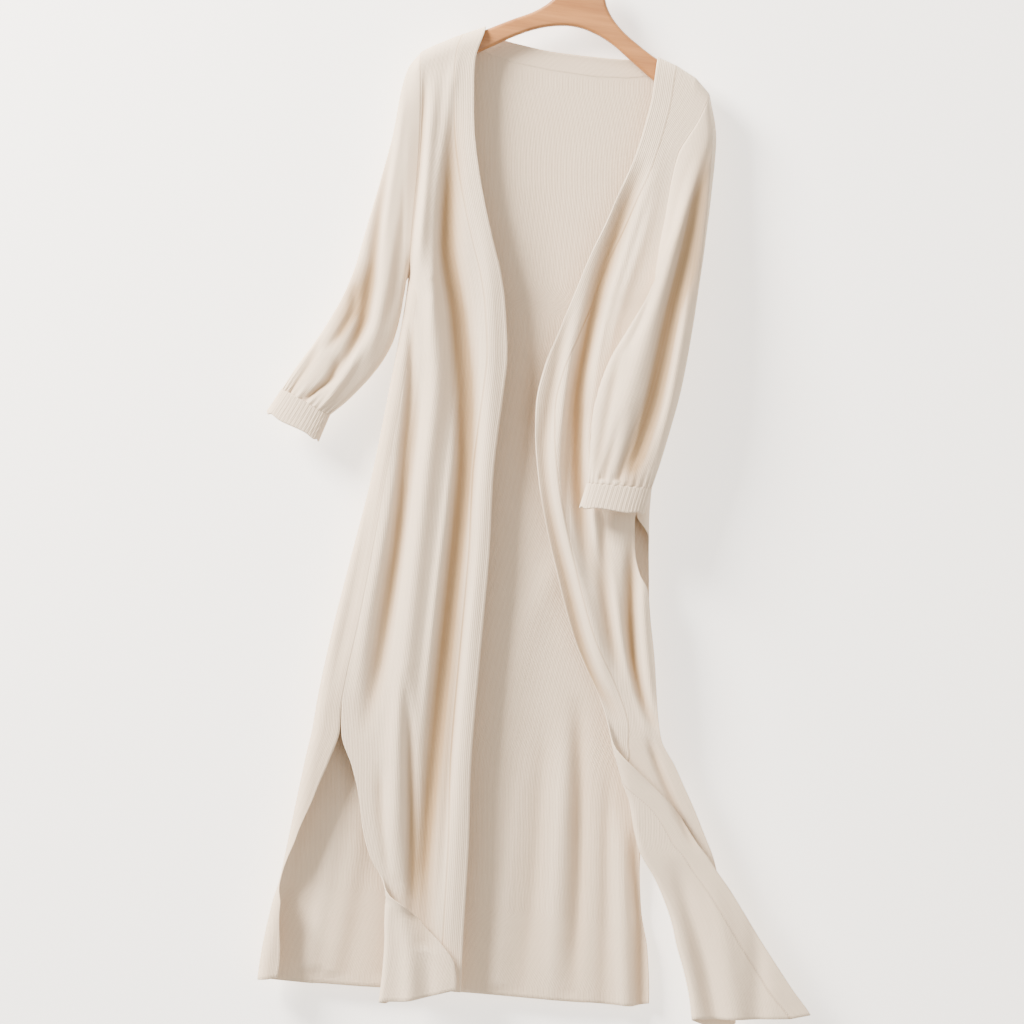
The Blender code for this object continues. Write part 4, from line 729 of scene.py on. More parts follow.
def right_front_point(column, z, is_band):
    """Point of the front on the right or of its band, from the side to the free edge."""
    outermost, turn, tail = ease(RIGHT_EDGE, 1, z), np.radians(ease(RIGHT_EDGE, 2, z)), ease(RIGHT_EDGE, 3, z)
    step = RIGHT_SLOPE_STEP
    slope = (right_edge_x(z + step) - right_edge_x(z - step)) / (2 * step)
    band = BAND_WIDTH * np.sqrt(1 + slope * slope)
    met_x, met_turn = meeting_side(BACK_RIGHT, z)
    joined = (z < ARMPIT_Z) & (z > RIGHT_SLIT_TOP)
    side = np.where(joined, met_x, ease(RIGHT_SIDE, 1, z))
    straight = straight_length(side, outermost, turn, FLAP_RADIUS)
    end = straight + FLAP_RADIUS * turn + tail
    if is_band:
        along = end - band + BENT_SEAM + (band - BENT_SEAM) * column / RIGHT_BAND_COLUMNS
    else:
        first = RIGHT_FRONT_COLUMNS[0]
        crowding = 1 + RIGHT_SIDE_CROWDING * np.clip((z - RIGHT_CROWDED_FROM) / RIGHT_CROWDED_OVER, 0, 1)
        evened = np.where(column < first, first * (np.minimum(column, first) / first) ** crowding, column)
        along = column_place(evened, RIGHT_FRONT_COLUMNS, 0.0, straight, FLAP_RADIUS * turn, end - band)
    x, rise, turned = turned_point(side, outermost, turn, FLAP_RADIUS, along)
    folds = relief(RIGHT_FOLDS + RIGHT_CREASES, x, z) + turned * relief(RIGHT_FLAP_FOLDS, x, z)
    y = -layer_depth(x, z) - rise - folds
    into_turn = np.clip((x - side) / HALF_DEPTH + np.sin(met_turn), 0, 1)
    return x, y + np.where(z > RIGHT_WRAP_END, HALF_DEPTH * (1 - np.sqrt(1 - into_turn**2)), 0.0)


right_pieces, right_grids = front_and_band(
    ("front_knit_wearers_left", "band_knit_wearers_left"), right_front_point,
    RIGHT_FRONT_COLUMNS, RIGHT_BAND_COLUMNS, (RIGHT_FINE_COLUMNS, RIGHT_BAND_FINE),
    (RIGHT_HEM, RIGHT_BAND_HEM), False,
    (knit("front_knit_wearers_left", WALE),
     knit("band_knit_wearers_left", BAND_WALE)),
    ("front_panel_wearers_left", "front_band_wearers_left"),
)


# Band round the back of the neck. The fronts' doubled band goes on round the neck here,
# linked to the top of the back panel.
NECK_FINE_COLUMNS = 96
NECK_FINE_ROWS = 10
NECK_PAINTED_SHADE = 0.15
columns = np.linspace(-BACK_COLUMNS[0], BACK_COLUMNS[0], NECK_FINE_COLUMNS + 1)
z = top_of(back_point, under_neck_band, columns)
seam = np.stack([back_point(columns, z)[0], z], axis=1)
keyed = sorted((row[2], row[0], row[1]) for row in NECK_LINE)
free = np.stack([ease(keyed, 1, seam[:, 0]), ease(keyed, 2, seam[:, 0])], axis=1)
grid = np.zeros((NECK_FINE_ROWS + 1, NECK_FINE_COLUMNS + 1, 3))
for i, share in enumerate(np.linspace(0, 1, NECK_FINE_ROWS + 1)):
    flat = free + (seam - free) * share
    grid[i] = np.stack([flat[:, 0], layer_depth(flat[:, 0], flat[:, 1]), flat[:, 1]], axis=1)
# An even painted shade over the whole neck band.
piece = cloth_wall("neck_band_knit", grid, WALL, np.full(grid.shape[:2], NECK_PAINTED_SHADE))
dress(
    piece, knit("neck_band_knit", BAND_WALE), "neck_band_back",
)


# Sleeve on the left of the view, the wearer's right. A tube of the same knit, linked round
# the armhole and drawn in a little at its cuff. It hangs slack beside the body and bends
# outwards at the elbow.
SLEEVE_POINTS = 96
SLEEVE_RINGS = 110
ARMHOLE_GAP = 0.0008
ARMHOLE_STEPS = 40
ARMHOLE_LOOK_IN = 0.2
ARMHOLE_OUTWARD = 0.3
SLEEVE_ROUNDNESS = 0.8
SLEEVE_SHADE_DEPTH = 0.007
HIDDEN_SHARE = 0.4
LEFT_SLEEVE = (
    (-0.2035, -0.205, 0, -0.1705, -0.462, 0, 0.0135, 0, 0),
    (-0.208, -0.235, 0, -0.1705, -0.472, 0, 0.013, 0, 0),
    (-0.21, -0.281, 0, -0.171, -0.482, 0, 0.0125, 0, 0),
    (-0.217, -0.34, 0, -0.1712, -0.494, 0, 0.012, 0, 0),
    (-0.226, -0.4, 0, -0.172, -0.508, 0, 0.012, 0, 0),
    (-0.234, -0.455, -0.001, -0.175, -0.532, -0.001, 0.012, 0, 0),
    (-0.244, -0.492, -0.002, -0.184, -0.559, -0.002, 0.012, 0, 0),
    (-0.256, -0.522, -0.003, -0.196, -0.581, -0.003, 0.012, 0, 0),
    (-0.27, -0.552, -0.004, -0.209, -0.6, -0.004, 0.0115, 0, 0),
    (-0.286, -0.581, -0.005, -0.223, -0.618, -0.005, 0.011, 0, 0),
    (-0.301, -0.613, -0.006, -0.24, -0.636, -0.006, 0.0105, 0, 0),
)
LEFT_CUFF_END = (-0.3150, -0.643, -0.007, -0.2490, -0.668, -0.007, 0.0110, 0, 0)
LEFT_SLEEVE_FOLDS = (
    ((-0.26, -0.207, 0.008, 0), (-0.35, -0.213, 0.009, -0.005), (-0.45, -0.212, 0.009, -0.007),
     (-0.51, -0.213, 0.009, -0.008), (-0.55, -0.223, 0.008, -0.006), (-0.585, -0.238, 0.008, 0)),
    ((-0.36, -0.195, 0.011, 0), (-0.44, -0.192, 0.012, 0.004), (-0.52, -0.195, 0.012, 0.005),
     (-0.58, -0.212, 0.01, 0)),
)
LEFT_SLEEVE_CREASES = (
    ((-0.21, -0.198, 0.006, 0), (-0.28, -0.203, 0.006, 0.0031), (-0.38, -0.205, 0.006, 0.0036),
     (-0.47, -0.203, 0.006, 0)),
    ((-0.3, -0.186, 0.006, 0), (-0.38, -0.183, 0.007, -0.0031), (-0.47, -0.183, 0.007, -0.0036),
     (-0.56, -0.195, 0.006, 0)),
    ((-0.47, -0.232, 0.006, 0), (-0.5, -0.228, 0.006, -0.0042), (-0.535, -0.24, 0.006, -0.0036),
     (-0.56, -0.256, 0.006, 0)),
    ((-0.56, -0.236, 0.006, 0), (-0.59, -0.243, 0.006, -0.0056), (-0.612, -0.262, 0.005, -0.0056),
     (-0.628, -0.278, 0.005, 0)),
    ((-0.54, -0.262, 0.006, 0), (-0.575, -0.272, 0.006, -0.0034), (-0.61, -0.288, 0.005, -0.0036),
     (-0.63, -0.296, 0.005, 0)),
    ((-0.54, -0.212, 0.006, 0), (-0.575, -0.222, 0.006, 0.0036), (-0.615, -0.242, 0.005, 0.0034),
     (-0.635, -0.254, 0.005, 0)),
)
# Painted shade at the elbow, a darkening with no fold raised.
LEFT_SLEEVE_SHADE = (
    ((-0.44, -0.226, 0.012, 0), (-0.485, -0.232, 0.017, -0.006), (-0.53, -0.24, 0.014, -0.004),
     (-0.56, -0.252, 0.01, 0)),
)
GATHERS = 26
GATHER_DEPTH = 0.0011
GATHERS_FROM = 0.86
SETTLED_BY = 0.2


def armhole(point, last_column, inward, lowest):
    """Points down a panel's armhole, from the shoulder line to its lowest point, set off into the hole."""
    end = np.full(ARMHOLE_STEPS, float(last_column))
    top = top_of(point, shoulder_z, end)
    z = top + (lowest - top) * np.linspace(0, 1, ARMHOLE_STEPS)
    path = np.stack([*point(end, z), z], axis=1)
    within = np.stack([*point(end + inward * ARMHOLE_LOOK_IN, z), z], axis=1)
    down = np.gradient(path, axis=0)
    down /= np.linalg.norm(down, axis=1, keepdims=True)
    off = path - within
    off -= np.sum(off * down, axis=1, keepdims=True) * down
    off /= np.linalg.norm(off, axis=1, keepdims=True)
    off[:, 0] += ARMHOLE_OUTWARD * np.sign(path[:, 0])
    off[:, 1] = 0.0
    return path + ARMHOLE_GAP * off / np.linalg.norm(off, axis=1, keepdims=True)


def spread_along(path, shares):
    """Points at shares of a path's length."""
    walked = np.concatenate([[0], np.cumsum(np.linalg.norm(np.diff(path, axis=0), axis=1))])
    walked /= walked[-1]
    return np.stack([np.interp(shares, walked, path[:, k]) for k in range(3)], axis=1)


def sleeve_ring(row, angles):
    """One flattened ring of a sleeve, from its outer edge over the front to its inner edge and back."""
    outer_x, outer_z, outer_y, inner_x, inner_z, inner_y, depth, bow_x, bow_z = row
    share = (1 - np.cos(angles)) / 2
    swell = np.sign(np.sin(angles)) * np.abs(np.sin(angles)) ** SLEEVE_ROUNDNESS
    behind = np.clip(-np.sin(angles), 0, 1)
    x = outer_x + (inner_x - outer_x) * share + bow_x * behind
    z = outer_z + (inner_z - outer_z) * share + bow_z * behind
    return np.stack([x, outer_y + (inner_y - outer_y) * share - depth * swell, z], axis=1)


def sleeve_rings(front_hole, back_hole, front_share, rows, count):
    """Rings of a sleeve, the first round the armhole, as a smooth loft through the table's rings."""
    angles = 2 * math.pi * np.arange(SLEEVE_POINTS) / SLEEVE_POINTS
    share = (1 - np.cos(angles)) / 2
    kept = int(front_share * len(front_hole))
    over_front = front_hole[:kept]
    round_back = np.concatenate([back_hole, front_hole[kept - 1:][::-1]])
    in_front = (angles <= math.pi)[:, None]
    rings = [np.where(in_front, spread_along(over_front, share), spread_along(round_back, share))]
    rings += [sleeve_ring(row, angles) for row in rows]
    keyed = np.linspace(0, 1, len(rings))
    wanted = np.linspace(0, 1, count)
    made = np.zeros((count, SLEEVE_POINTS, 3))
    for j in range(SLEEVE_POINTS):
        for k in range(3):
            made[:, j, k] = ease([(u, ring[j, k]) for u, ring in zip(keyed, rings)], 1, wanted)
    return made


def tube_normals(grid):
    """Unit normals of a tube, evened round it and at its first ring."""
    normal = grid_normals(grid, True)
    normal[0] += normal[1]
    return normal / np.linalg.norm(normal, axis=2, keepdims=True)


def sleeve(name, front_hole, back_hole, front_share, rows, folds, creases, shade, node):
    """A sleeve from its armhole to the seam of its cuff, where it is gathered a little."""
    grid = sleeve_rings(front_hole, back_hole, front_share, rows, SLEEVE_RINGS)
    turn = 2 * math.pi * np.arange(SLEEVE_POINTS) / SLEEVE_POINTS
    facing = np.clip(np.sin(turn), 0, 1) ** 0.5
    behind = np.clip(-np.sin(turn), 0, 1) ** 0.5
    ring = np.arange(SLEEVE_RINGS)[:, None] / (SLEEVE_RINGS - 1)
    settle = np.clip(ring / SETTLED_BY, 0, 1)
    height = relief(folds + creases, grid[:, :, 0], grid[:, :, 2])
    grid[:, :, 1] -= height * facing * settle
    grid[:, :, 1] += HIDDEN_SHARE * height * behind * settle
    drawn = np.clip((ring - GATHERS_FROM) / 0.14, 0, 1) ** 2
    gathers = np.cos(GATHERS * turn + 0.7 * np.sin(3 * turn)) * np.sign(np.sin(turn))
    grid[:, :, 1] -= GATHER_DEPTH * drawn * gathers
    # Painted shade on the front of the sleeve: darker in the valleys of its folds and where the shade table
    # lies.
    dark = np.minimum(height, 0) + relief(shade, grid[:, :, 0], grid[:, :, 2])
    painted_shade = np.clip(-dark / SLEEVE_SHADE_DEPTH, 0.0, 1.0) * facing * np.maximum(settle, 0.4)
    piece = cloth_wall(name, grid, WALL, painted_shade, closed=True, normal=tube_normals(grid))
    dress(piece, knit(name, WALE), node)
    return piece


def left_side(column, z):
    return left_front_point(column, z, False)


sleeve(
    "sleeve_knit_wearers_right", armhole(left_side, sum(LEFT_FRONT_COLUMNS), -1, ARMPIT_Z),
    armhole(back_point, -sum(BACK_COLUMNS), 1, ARMPIT_Z), 1.0, LEFT_SLEEVE, LEFT_SLEEVE_FOLDS,
    LEFT_SLEEVE_CREASES, LEFT_SLEEVE_SHADE, "sleeve_wearers_right",
)


# Sleeve on the right of the view, the wearer's left. The same tube; it hangs in front of
# the body and of the front's folds, its outer side turned from the light and painted with shade.
RIGHT_HOLE_LOW = -0.444
RIGHT_FRONT_HOLE_SHARE = 0.97
RIGHT_SLEEVE = (
    (0.1755, -0.225, -0.004, 0.127, -0.432, -0.025, 0.0115, 0.018, -0.024),
    (0.1785, -0.27, -0.009, 0.122, -0.446, -0.03, 0.0105, 0.016, -0.018),
    (0.1815, -0.325, -0.015, 0.115, -0.462, -0.032, 0.0105, 0.012, -0.014),
    (0.183, -0.38, -0.021, 0.103, -0.49, -0.033, 0.011, 0.008, -0.01),
    (0.183, -0.435, -0.027, 0.089, -0.524, -0.033, 0.0115, 0.003, -0.004),
    (0.182, -0.485, -0.031, 0.081, -0.56, -0.033, 0.012, 0, 0),
    (0.179, -0.545, -0.033, 0.078, -0.592, -0.033, 0.012, 0, 0),
    (0.1725, -0.597, -0.033, 0.08, -0.622, -0.033, 0.012, 0, 0),
    (0.1655, -0.642, -0.033, 0.082, -0.651, -0.033, 0.012, 0, 0),
    (0.16, -0.67, -0.033, 0.083, -0.675, -0.033, 0.0115, 0, 0),
)
RIGHT_CUFF_END = (0.1550, -0.701, -0.033, 0.0780, -0.7045, -0.033, 0.0120, 0, 0)
RIGHT_SLEEVE_FOLDS = (
    ((-0.24, 0.17, 0.009, 0), (-0.33, 0.167, 0.01, -0.006), (-0.45, 0.158, 0.011, -0.008),
     (-0.56, 0.15, 0.011, -0.009), (-0.63, 0.139, 0.01, -0.007), (-0.665, 0.128, 0.01, 0)),
    ((-0.25, 0.156, 0.01, 0), (-0.34, 0.149, 0.011, 0.005), (-0.45, 0.133, 0.012, 0.006),
     (-0.56, 0.117, 0.013, 0.005), (-0.65, 0.105, 0.012, 0)),
)
RIGHT_SLEEVE_CREASES = (
    ((-0.235, 0.162, 0.005, 0), (-0.3, 0.146, 0.006, -0.0042), (-0.38, 0.136, 0.006, -0.0048),
     (-0.46, 0.122, 0.006, -0.0042), (-0.52, 0.104, 0.006, 0)),
    ((-0.4, 0.172, 0.006, 0), (-0.46, 0.171, 0.006, 0.0042), (-0.56, 0.168, 0.006, 0.0042),
     (-0.64, 0.16, 0.006, 0)),
    ((-0.56, 0.134, 0.005, 0), (-0.62, 0.126, 0.005, -0.0031), (-0.668, 0.118, 0.005, -0.0034)),
    ((-0.58, 0.112, 0.005, 0), (-0.63, 0.106, 0.005, -0.0028), (-0.668, 0.1, 0.005, -0.0034)),
    ((-0.5, 0.1, 0.006, 0), (-0.56, 0.096, 0.006, -0.0031), (-0.64, 0.092, 0.006, -0.0028),
     (-0.668, 0.09, 0.005, 0)),
)
# Painted shade down the outer side of the upper sleeve, a darkening with no fold raised.
RIGHT_SLEEVE_SHADE = (
    ((-0.22, 0.176, 0.008, 0), (-0.3, 0.168, 0.012, -0.0065), (-0.4, 0.166, 0.017, -0.008),
     (-0.48, 0.152, 0.012, -0.006), (-0.58, 0.146, 0.012, -0.005), (-0.66, 0.136, 0.012, -0.004),
     (-0.7, 0.13, 0.012, 0)),
)


def right_side(column, z):
    return right_front_point(column, z, False)


sleeve(
    "sleeve_knit_wearers_left", armhole(right_side, 0, 1, RIGHT_HOLE_LOW),
    armhole(back_point, sum(BACK_COLUMNS), -1, RIGHT_HOLE_LOW), RIGHT_FRONT_HOLE_SHARE, RIGHT_SLEEVE,
    RIGHT_SLEEVE_FOLDS, RIGHT_SLEEVE_CREASES, RIGHT_SLEEVE_SHADE, "sleeve_wearers_left",
)


# Cuffs. A doubled band of fine rib at the end of each sleeve, linked to it by a seam that
# gathers the sleeve.
CUFF_WALL = 0.0022
CUFF_RINGS = 24
RIB_COUNT = 44
RIB_HEIGHT = 0.00022
END_WAVE = 0.0011
END_WAVES = 7
CUFF_PAINTED_SHADE = 0.08
CUFF_GAP_SHARE = 0.006


def cuff(name, last_row, end_row, node):
    """A cuff, which goes on from the end of its sleeve, with its ribs raised."""
    turn = 2 * math.pi * np.arange(SLEEVE_POINTS * 2) / (SLEEVE_POINTS * 2)
    start = sleeve_ring(last_row, turn)
    end = sleeve_ring(end_row, turn)
    grid = np.array([start + (end - start) * share for share in np.linspace(CUFF_GAP_SHARE, 1, CUFF_RINGS)])
    towards_end = np.linspace(0, 1, CUFF_RINGS)[:, None] ** 2
    grid[:, :, 2] += END_WAVE * (towards_end * np.cos(END_WAVES * turn + 2 * np.sin(2 * turn))[None, :])
    normal = tube_normals(grid)
    grid = grid + normal * RIB_HEIGHT * np.cos(RIB_COUNT * turn)[None, :, None]
    # An even painted shade over the whole cuff.
    painted_shade = np.full(grid.shape[:2], CUFF_PAINTED_SHADE)
    piece = cloth_wall(name, grid, CUFF_WALL, painted_shade, closed=True, normal=normal)
    dress(piece, knit(name, BAND_WALE), node)
    return piece


for side, last_row, end_row in (
    ("wearers_right", LEFT_SLEEVE[-1], LEFT_CUFF_END), ("wearers_left", RIGHT_SLEEVE[-1], RIGHT_CUFF_END),
):
    cuff("cuff_knit_" + side, last_row, end_row, "cuff_" + side)


# Linked seams. Small stitches in the same yarn lie along the seams of the two front bands,
# each seam's laid along it by a small node tree.
STITCH_SPACING = 0.0030
STITCH_LENGTH = 0.0024
STITCH_THICKNESS = 0.0007


def stitch_tree(finish):
    """Node tree that lays stitches along a curve, each turned along it."""
    tree = bpy.data.node_groups.new("stitches", "GeometryNodeTree")
    tree.interface.new_socket("Geometry", in_out="INPUT", socket_type="NodeSocketGeometry")
    spacing = tree.interface.new_socket("Spacing", in_out="INPUT", socket_type="NodeSocketFloat")
    length = tree.interface.new_socket("Stitch length", in_out="INPUT", socket_type="NodeSocketFloat")
    thick = tree.interface.new_socket("Stitch thickness", in_out="INPUT", socket_type="NodeSocketFloat")
    seed = tree.interface.new_socket("Seed", in_out="INPUT", socket_type="NodeSocketInt")
    tree.interface.new_socket("Geometry", in_out="OUTPUT", socket_type="NodeSocketGeometry")
    entry = tree.nodes.new("NodeGroupInput")
    leave = tree.nodes.new("NodeGroupOutput")
    points = tree.nodes.new("GeometryNodeCurveToPoints")
    points.mode = "LENGTH"
    ball = tree.nodes.new("GeometryNodeMeshUVSphere")
    ball.inputs["Segments"].default_value = 6
    ball.inputs["Rings"].default_value = 4
    ball.inputs["Radius"].default_value = 0.5
    shape = tree.nodes.new("ShaderNodeCombineXYZ")
    scaled = tree.nodes.new("GeometryNodeTransform")
    align = tree.nodes.new("FunctionNodeAlignRotationToVector")
    align.axis = "X"
    jitter = tree.nodes.new("FunctionNodeRandomValue")
    jitter.data_type = "FLOAT"
    lay = tree.nodes.new("GeometryNodeInstanceOnPoints")
    real = tree.nodes.new("GeometryNodeRealizeInstances")
    paint = tree.nodes.new("GeometryNodeSetMaterial")
    paint.inputs["Material"].default_value = finish
    link = tree.links.new
    link(entry.outputs["Geometry"], points.inputs["Curve"])
    link(entry.outputs["Spacing"], points.inputs["Length"])
    link(entry.outputs["Stitch length"], shape.inputs[0])
    link(entry.outputs["Stitch thickness"], shape.inputs[1])
    link(entry.outputs["Stitch thickness"], shape.inputs[2])
    link(ball.outputs["Mesh"], scaled.inputs["Geometry"])
    link(shape.outputs[0], scaled.inputs["Scale"])
    link(points.outputs["Points"], lay.inputs["Points"])
    link(points.outputs["Tangent"], align.inputs["Vector"])
    link(align.outputs["Rotation"], lay.inputs["Rotation"])
    link(scaled.outputs["Geometry"], lay.inputs["Instance"])
    jitter.inputs[2].default_value = 0.85
    jitter.inputs[3].default_value = 1.10
    link(entry.outputs["Seed"], jitter.inputs["Seed"])
    link(jitter.outputs[1], lay.inputs["Scale"])
    link(lay.outputs["Instances"], real.inputs["Geometry"])
    link(real.outputs["Geometry"], paint.inputs["Geometry"])
    link(paint.outputs["Geometry"], leave.inputs[0])
    named = {"spacing": spacing, "length": length, "thick": thick, "seed": seed}
    return tree, {key: item.identifier for key, item in named.items()}


def stitches(name, path):
    """A line of stitches along a path of points, as a plain mesh."""
    line = bpy.data.curves.new(name, "CURVE")
    line.dimensions = "3D"
    spline = line.splines.new("POLY")
    spline.points.add(len(path) - 1)
    spline.points.foreach_set("co", np.concatenate([path, np.ones((len(path), 1))], axis=1).ravel())
    guide = bpy.data.objects.new(name + "_guide", line)
    bpy.context.scene.collection.objects.link(guide)
    laid = guide.modifiers.new("stitches", "NODES")
    laid.node_group = seam_tree
    laid[seam_inputs["spacing"]] = STITCH_SPACING
    laid[seam_inputs["length"]] = STITCH_LENGTH
    laid[seam_inputs["thick"]] = STITCH_THICKNESS
    laid[seam_inputs["seed"]] = 7
    bpy.context.view_layer.update()
    evaluated = guide.evaluated_get(bpy.context.evaluated_depsgraph_get())
    mesh = bpy.data.meshes.new_from_object(evaluated)
    mesh.name = name
    bpy.data.objects.remove(guide)
    if not mesh.materials:
        mesh.materials.append(yarn)
    mesh.shade_smooth()
    piece = bpy.data.objects.new(name, mesh)
    bpy.context.scene.collection.objects.link(piece)
    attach(piece, "root")
    return piece


yarn, start, shader = new_shader("seam_yarn")
place = start.node("ShaderNodeTexCoord", output=3)
grain = start.node("ShaderNodeTexNoise", {"Vector": place, "Scale": 300.0, "Detail": 2.0})
tone = mixed(start, grain, (0.80, 0.70, 0.59, 1.0), (0.88, 0.79, 0.69, 1.0))
start.tree.links.new(tone.value, shader.inputs["Base Color"])
shader.inputs["Roughness"].default_value = 0.95
seam_tree, seam_inputs = stitch_tree(yarn)


def proud(grid, column, normal_sign=1.0):
    """A column of a grid, moved out to the wall's face."""
    normal = grid_normals(grid, False)
    return grid[2:-1, column] + normal[2:-1, column] * normal_sign * (WALL / 2 + 0.0001)


stitches("band_seam_wearers_right", proud(left_grids[0], 0))
stitches("band_seam_wearers_left", proud(right_grids[0], -1))


# Hanger. A flat arm of pale varnished wood, bent to the shoulders and rounded along its
# edges; the cloth of the shoulders hangs on it.
HANGER_TILT = math.radians(3.5)
WOOD_THICKNESS = 0.012
WOOD_EDGE = 0.0045
HANGER_RIGHT = (
    (0, -0.064), (0.014, -0.067), (0.024, -0.078), (0.034, -0.097), (0.05, -0.114), (0.08, -0.1325),
    (0.1055, -0.1446), (0.1192, -0.1497), (0.1447, -0.1554), (0.1602, -0.164), (0.164, -0.174),
    (0.156, -0.186), (0.135, -0.185), (0.105, -0.171), (0.07, -0.151), (0.045, -0.137), (0.022, -0.129),
    (0, -0.126),
)
HANGER_LEFT = (
    (-0.014, -0.067), (-0.024, -0.078), (-0.034, -0.097), (-0.05, -0.114), (-0.08, -0.133),
    (-0.105, -0.1492), (-0.1256, -0.163), (-0.1401, -0.1724), (-0.158, -0.18), (-0.164, -0.193),
    (-0.156, -0.202), (-0.135, -0.196), (-0.105, -0.176), (-0.07, -0.151), (-0.045, -0.137),
    (-0.022, -0.129),
)


def placed_mesh(shape):
    """Plain mesh of a curve, with its place in the mesh."""
    bpy.context.scene.collection.objects.link(shape)
    bpy.context.view_layer.update()
    mesh = bpy.data.meshes.new_from_object(shape.evaluated_get(bpy.context.evaluated_depsgraph_get()))
    mesh.transform(shape.matrix_world)
    bpy.data.objects.remove(shape)
    return mesh


outline = bpy.data.curves.new("hanger_outline", "CURVE")
outline.dimensions = "2D"
outline.fill_mode = "BOTH"
outline.extrude = WOOD_THICKNESS / 2 - WOOD_EDGE
outline.bevel_depth = WOOD_EDGE
outline.bevel_resolution = 5
outline.offset = -WOOD_EDGE
spline = outline.splines.new("BEZIER")
corners = HANGER_RIGHT + HANGER_LEFT[::-1]
spline.bezier_points.add(len(corners) - 1)
for point, (x, z) in zip(spline.bezier_points, corners):
    point.co = (x, z, 0)
    point.handle_left_type = "AUTO"
    point.handle_right_type = "AUTO"
spline.use_cyclic_u = True
spline.resolution_u = 6
shape = bpy.data.objects.new("hanger_outline", outline)
shape.rotation_euler = (math.pi / 2, HANGER_TILT, 0)
mesh = placed_mesh(shape)
work = bmesh.new()
work.from_mesh(mesh)
bmesh.ops.remove_doubles(work, verts=work.verts[:], dist=0.00002)
bmesh.ops.recalc_face_normals(work, faces=work.faces[:])
work.to_mesh(mesh)
work.free()
mesh.name = "hanger_wood_varnished"
mesh.shade_smooth()
mesh.set_sharp_from_angle(angle=math.radians(60))
wood, start, shader = new_shader("varnished_wood")
place = start.node("ShaderNodeTexCoord", output=3)
along = start.node("ShaderNodeMapping", {"Vector": place, "Scale": (5.0, 60.0, 60.0)})
bands = start.node("ShaderNodeTexNoise", {"Vector": along, "Scale": 1.4, "Detail": 4.0, "Distortion": 0.6})
fibre_place = start.node("ShaderNodeMapping", {"Vector": place, "Scale": (30.0, 900.0, 900.0)})
fibre = start.node("ShaderNodeTexNoise", {"Vector": fibre_place, "Scale": 1.0, "Detail": 3.0})
grain = ((bands - 0.5) * 2.2 + (fibre - 0.5) * 0.9 + 0.5).clamped()
tone = mixed(start, grain, (0.46, 0.195, 0.055, 1.0), (0.30, 0.115, 0.030, 1.0))
start.tree.links.new(tone.value, shader.inputs["Base Color"])
rough = fibre * 0.2 + 0.28
start.tree.links.new(rough.value, shader.inputs["Roughness"])
bump = start.node("ShaderNodeBump", {"Strength": 0.12, "Distance": 0.0003, "Height": fibre})
start.tree.links.new(bump.value, shader.inputs["Normal"])
shader.inputs["Coat Weight"].default_value = 0.35
shader.inputs["Coat Roughness"].default_value = 0.22
piece = bpy.data.objects.new("hanger_wood_varnished", mesh)
bpy.context.scene.collection.objects.link(piece)
stand_in(piece, wood, "hanger_wood")


# Hook. One bent steel wire, set into the crown of the hanger.
HOOK_RADIUS = 0.021
HOOK_WIRE = 0.0018
HOOK_FOOT = -0.075
HOOK_START = math.radians(-38)
HOOK_TURN = math.radians(215)
HOOK_STEPS = 56
HOOK_TOP = 0.0036
HOOK_NECK = (
    (0.0, HOOK_FOOT + 0.012), (0.0003, -0.056), (0.0015, -0.050), (0.0045, -0.0455), (0.009, -0.041),
)
middle_z = HOOK_TOP - HOOK_RADIUS - HOOK_WIRE
points = [(0.0, HOOK_FOOT), *HOOK_NECK]
for i in range(HOOK_STEPS + 1):
    angle = HOOK_START + HOOK_TURN * i / HOOK_STEPS
    points.append((HOOK_RADIUS * math.cos(angle), middle_z + HOOK_RADIUS * math.sin(angle)))
wire = bpy.data.curves.new("hanger_hook_wire", "CURVE")
wire.dimensions = "3D"
wire.bevel_depth = HOOK_WIRE
wire.bevel_resolution = 6
wire.use_fill_caps = True
spline = wire.splines.new("POLY")
spline.points.add(len(points) - 1)
for point, (x, z) in zip(spline.points, points):
    point.co = (x, 0, z, 1)
guide = bpy.data.objects.new("hook_guide", wire)
guide.rotation_euler = (0, HANGER_TILT, 0)
mesh = placed_mesh(guide)
mesh.name = "hanger_hook_wire"
mesh.shade_smooth()
mesh.set_sharp_from_angle(angle=math.radians(50))
steel, start, shader = new_shader("drawn_steel")
place = start.node("ShaderNodeTexCoord", output=3)
scratch = start.node("ShaderNodeTexNoise", {"Vector": place, "Scale": 700.0, "Detail": 3.0})
tone = mixed(start, scratch, (0.50, 0.50, 0.49, 1.0), (0.68, 0.68, 0.67, 1.0))
start.tree.links.new(tone.value, shader.inputs["Base Color"])
rough = scratch * 0.2 + 0.18
start.tree.links.new(rough.value, shader.inputs["Roughness"])
shader.inputs["Metallic"].default_value = 1.0
piece = bpy.data.objects.new("hanger_hook_wire", mesh)
bpy.context.scene.collection.objects.link(piece)
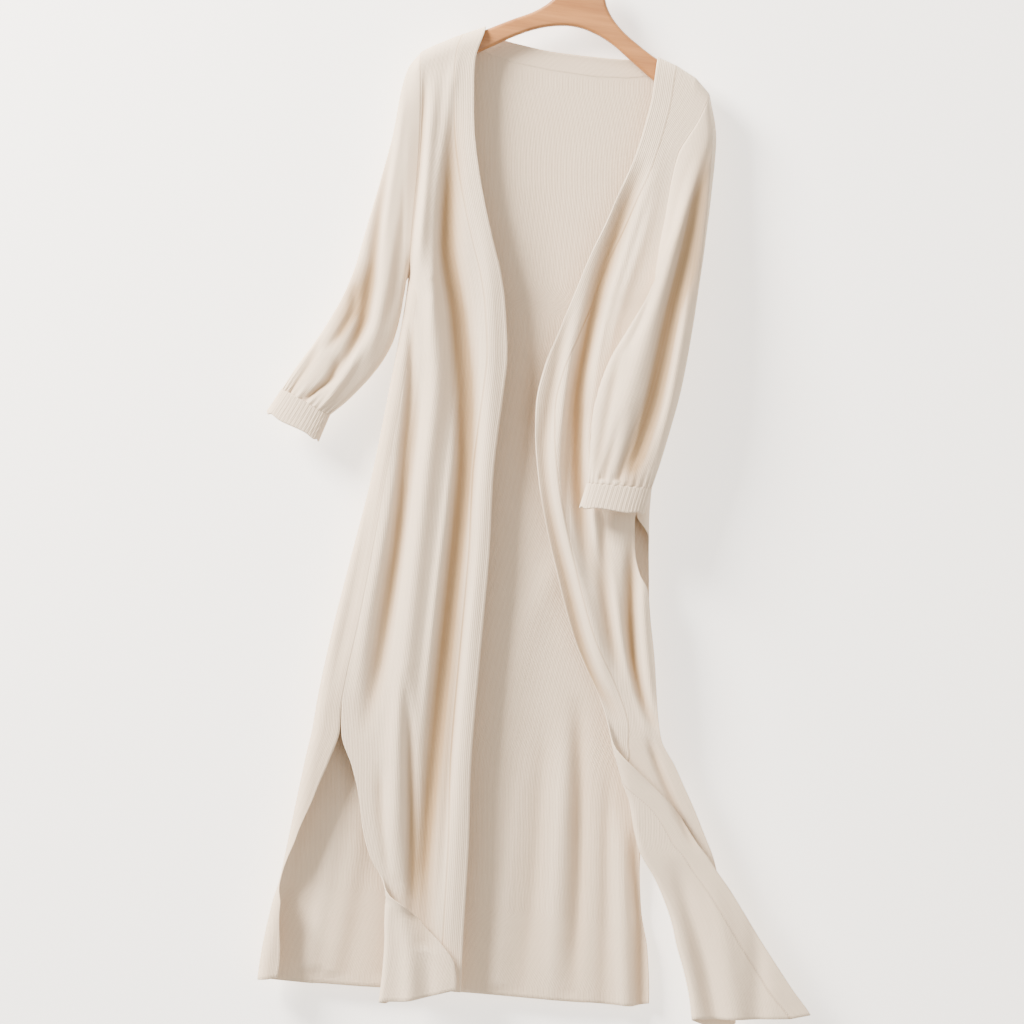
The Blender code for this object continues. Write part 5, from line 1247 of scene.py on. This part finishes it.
stand_in(piece, steel, "hanger_hook")


# Backdrop and light. A plain pale wall close behind the cloth, seen from the front only,
# with soft light from the upper left.
WALL_Y = 0.030
mesh = bpy.data.meshes.new("backdrop")
corners = [(-3, WALL_Y, -3.2), (3, WALL_Y, -3.2), (3, WALL_Y, 1.8), (-3, WALL_Y, 1.8)]
mesh.from_pydata(corners, [], [(0, 1, 2, 3)])
backdrop = bpy.data.objects.new("backdrop", mesh)
bpy.context.scene.collection.objects.link(backdrop)
pale, start, shader = new_shader("pale_wall")
shader.inputs["Base Color"].default_value = (0.93, 0.93, 0.92, 1.0)
shader.inputs["Emission Color"].default_value = (1.0, 0.93, 0.85, 1.0)
shader.inputs["Emission Strength"].default_value = 1.5
shader.inputs["Roughness"].default_value = 0.95
shader.inputs["Specular IOR Level"].default_value = 0.1
behind = start.node("ShaderNodeNewGeometry", output=6)
clear = start.node("ShaderNodeBsdfTransparent")
both = start.node("ShaderNodeMixShader", {0: behind, 1: Socket(start.tree, shader.outputs[0]), 2: clear})
start.tree.links.new(both.value, start.tree.nodes["Material Output"].inputs["Surface"])
mesh.materials.append(pale)


def softbox(name, place, aim, size, power, colour):
    """A square soft light at a place, turned to its aim."""
    lamp = bpy.data.lights.new(name, "AREA")
    lamp.size = size
    lamp.energy = power
    lamp.color = colour
    held = bpy.data.objects.new(name, lamp)
    held.location = place
    away = held.location - Vector(aim)
    held.rotation_euler = away.to_track_quat("Z", "Y").to_euler()
    bpy.context.scene.collection.objects.link(held)


softbox("key", (-2.9, -1.55, 1.3), (0.0, 0.0, -0.7), 1.3, 720, (1.0, 0.93, 0.85))
softbox("fill", (1.6, -4.2, -0.6), (0.0, 0.0, -0.7), 3.0, 60, (1.0, 0.92, 0.84))
sky = bpy.data.worlds.new("studio")
sky.use_nodes = True
sky.node_tree.nodes["Background"].inputs["Color"].default_value = (1.0, 0.94, 0.87, 1.0)
sky.node_tree.nodes["Background"].inputs["Strength"].default_value = 0.85
bpy.context.scene.world = sky
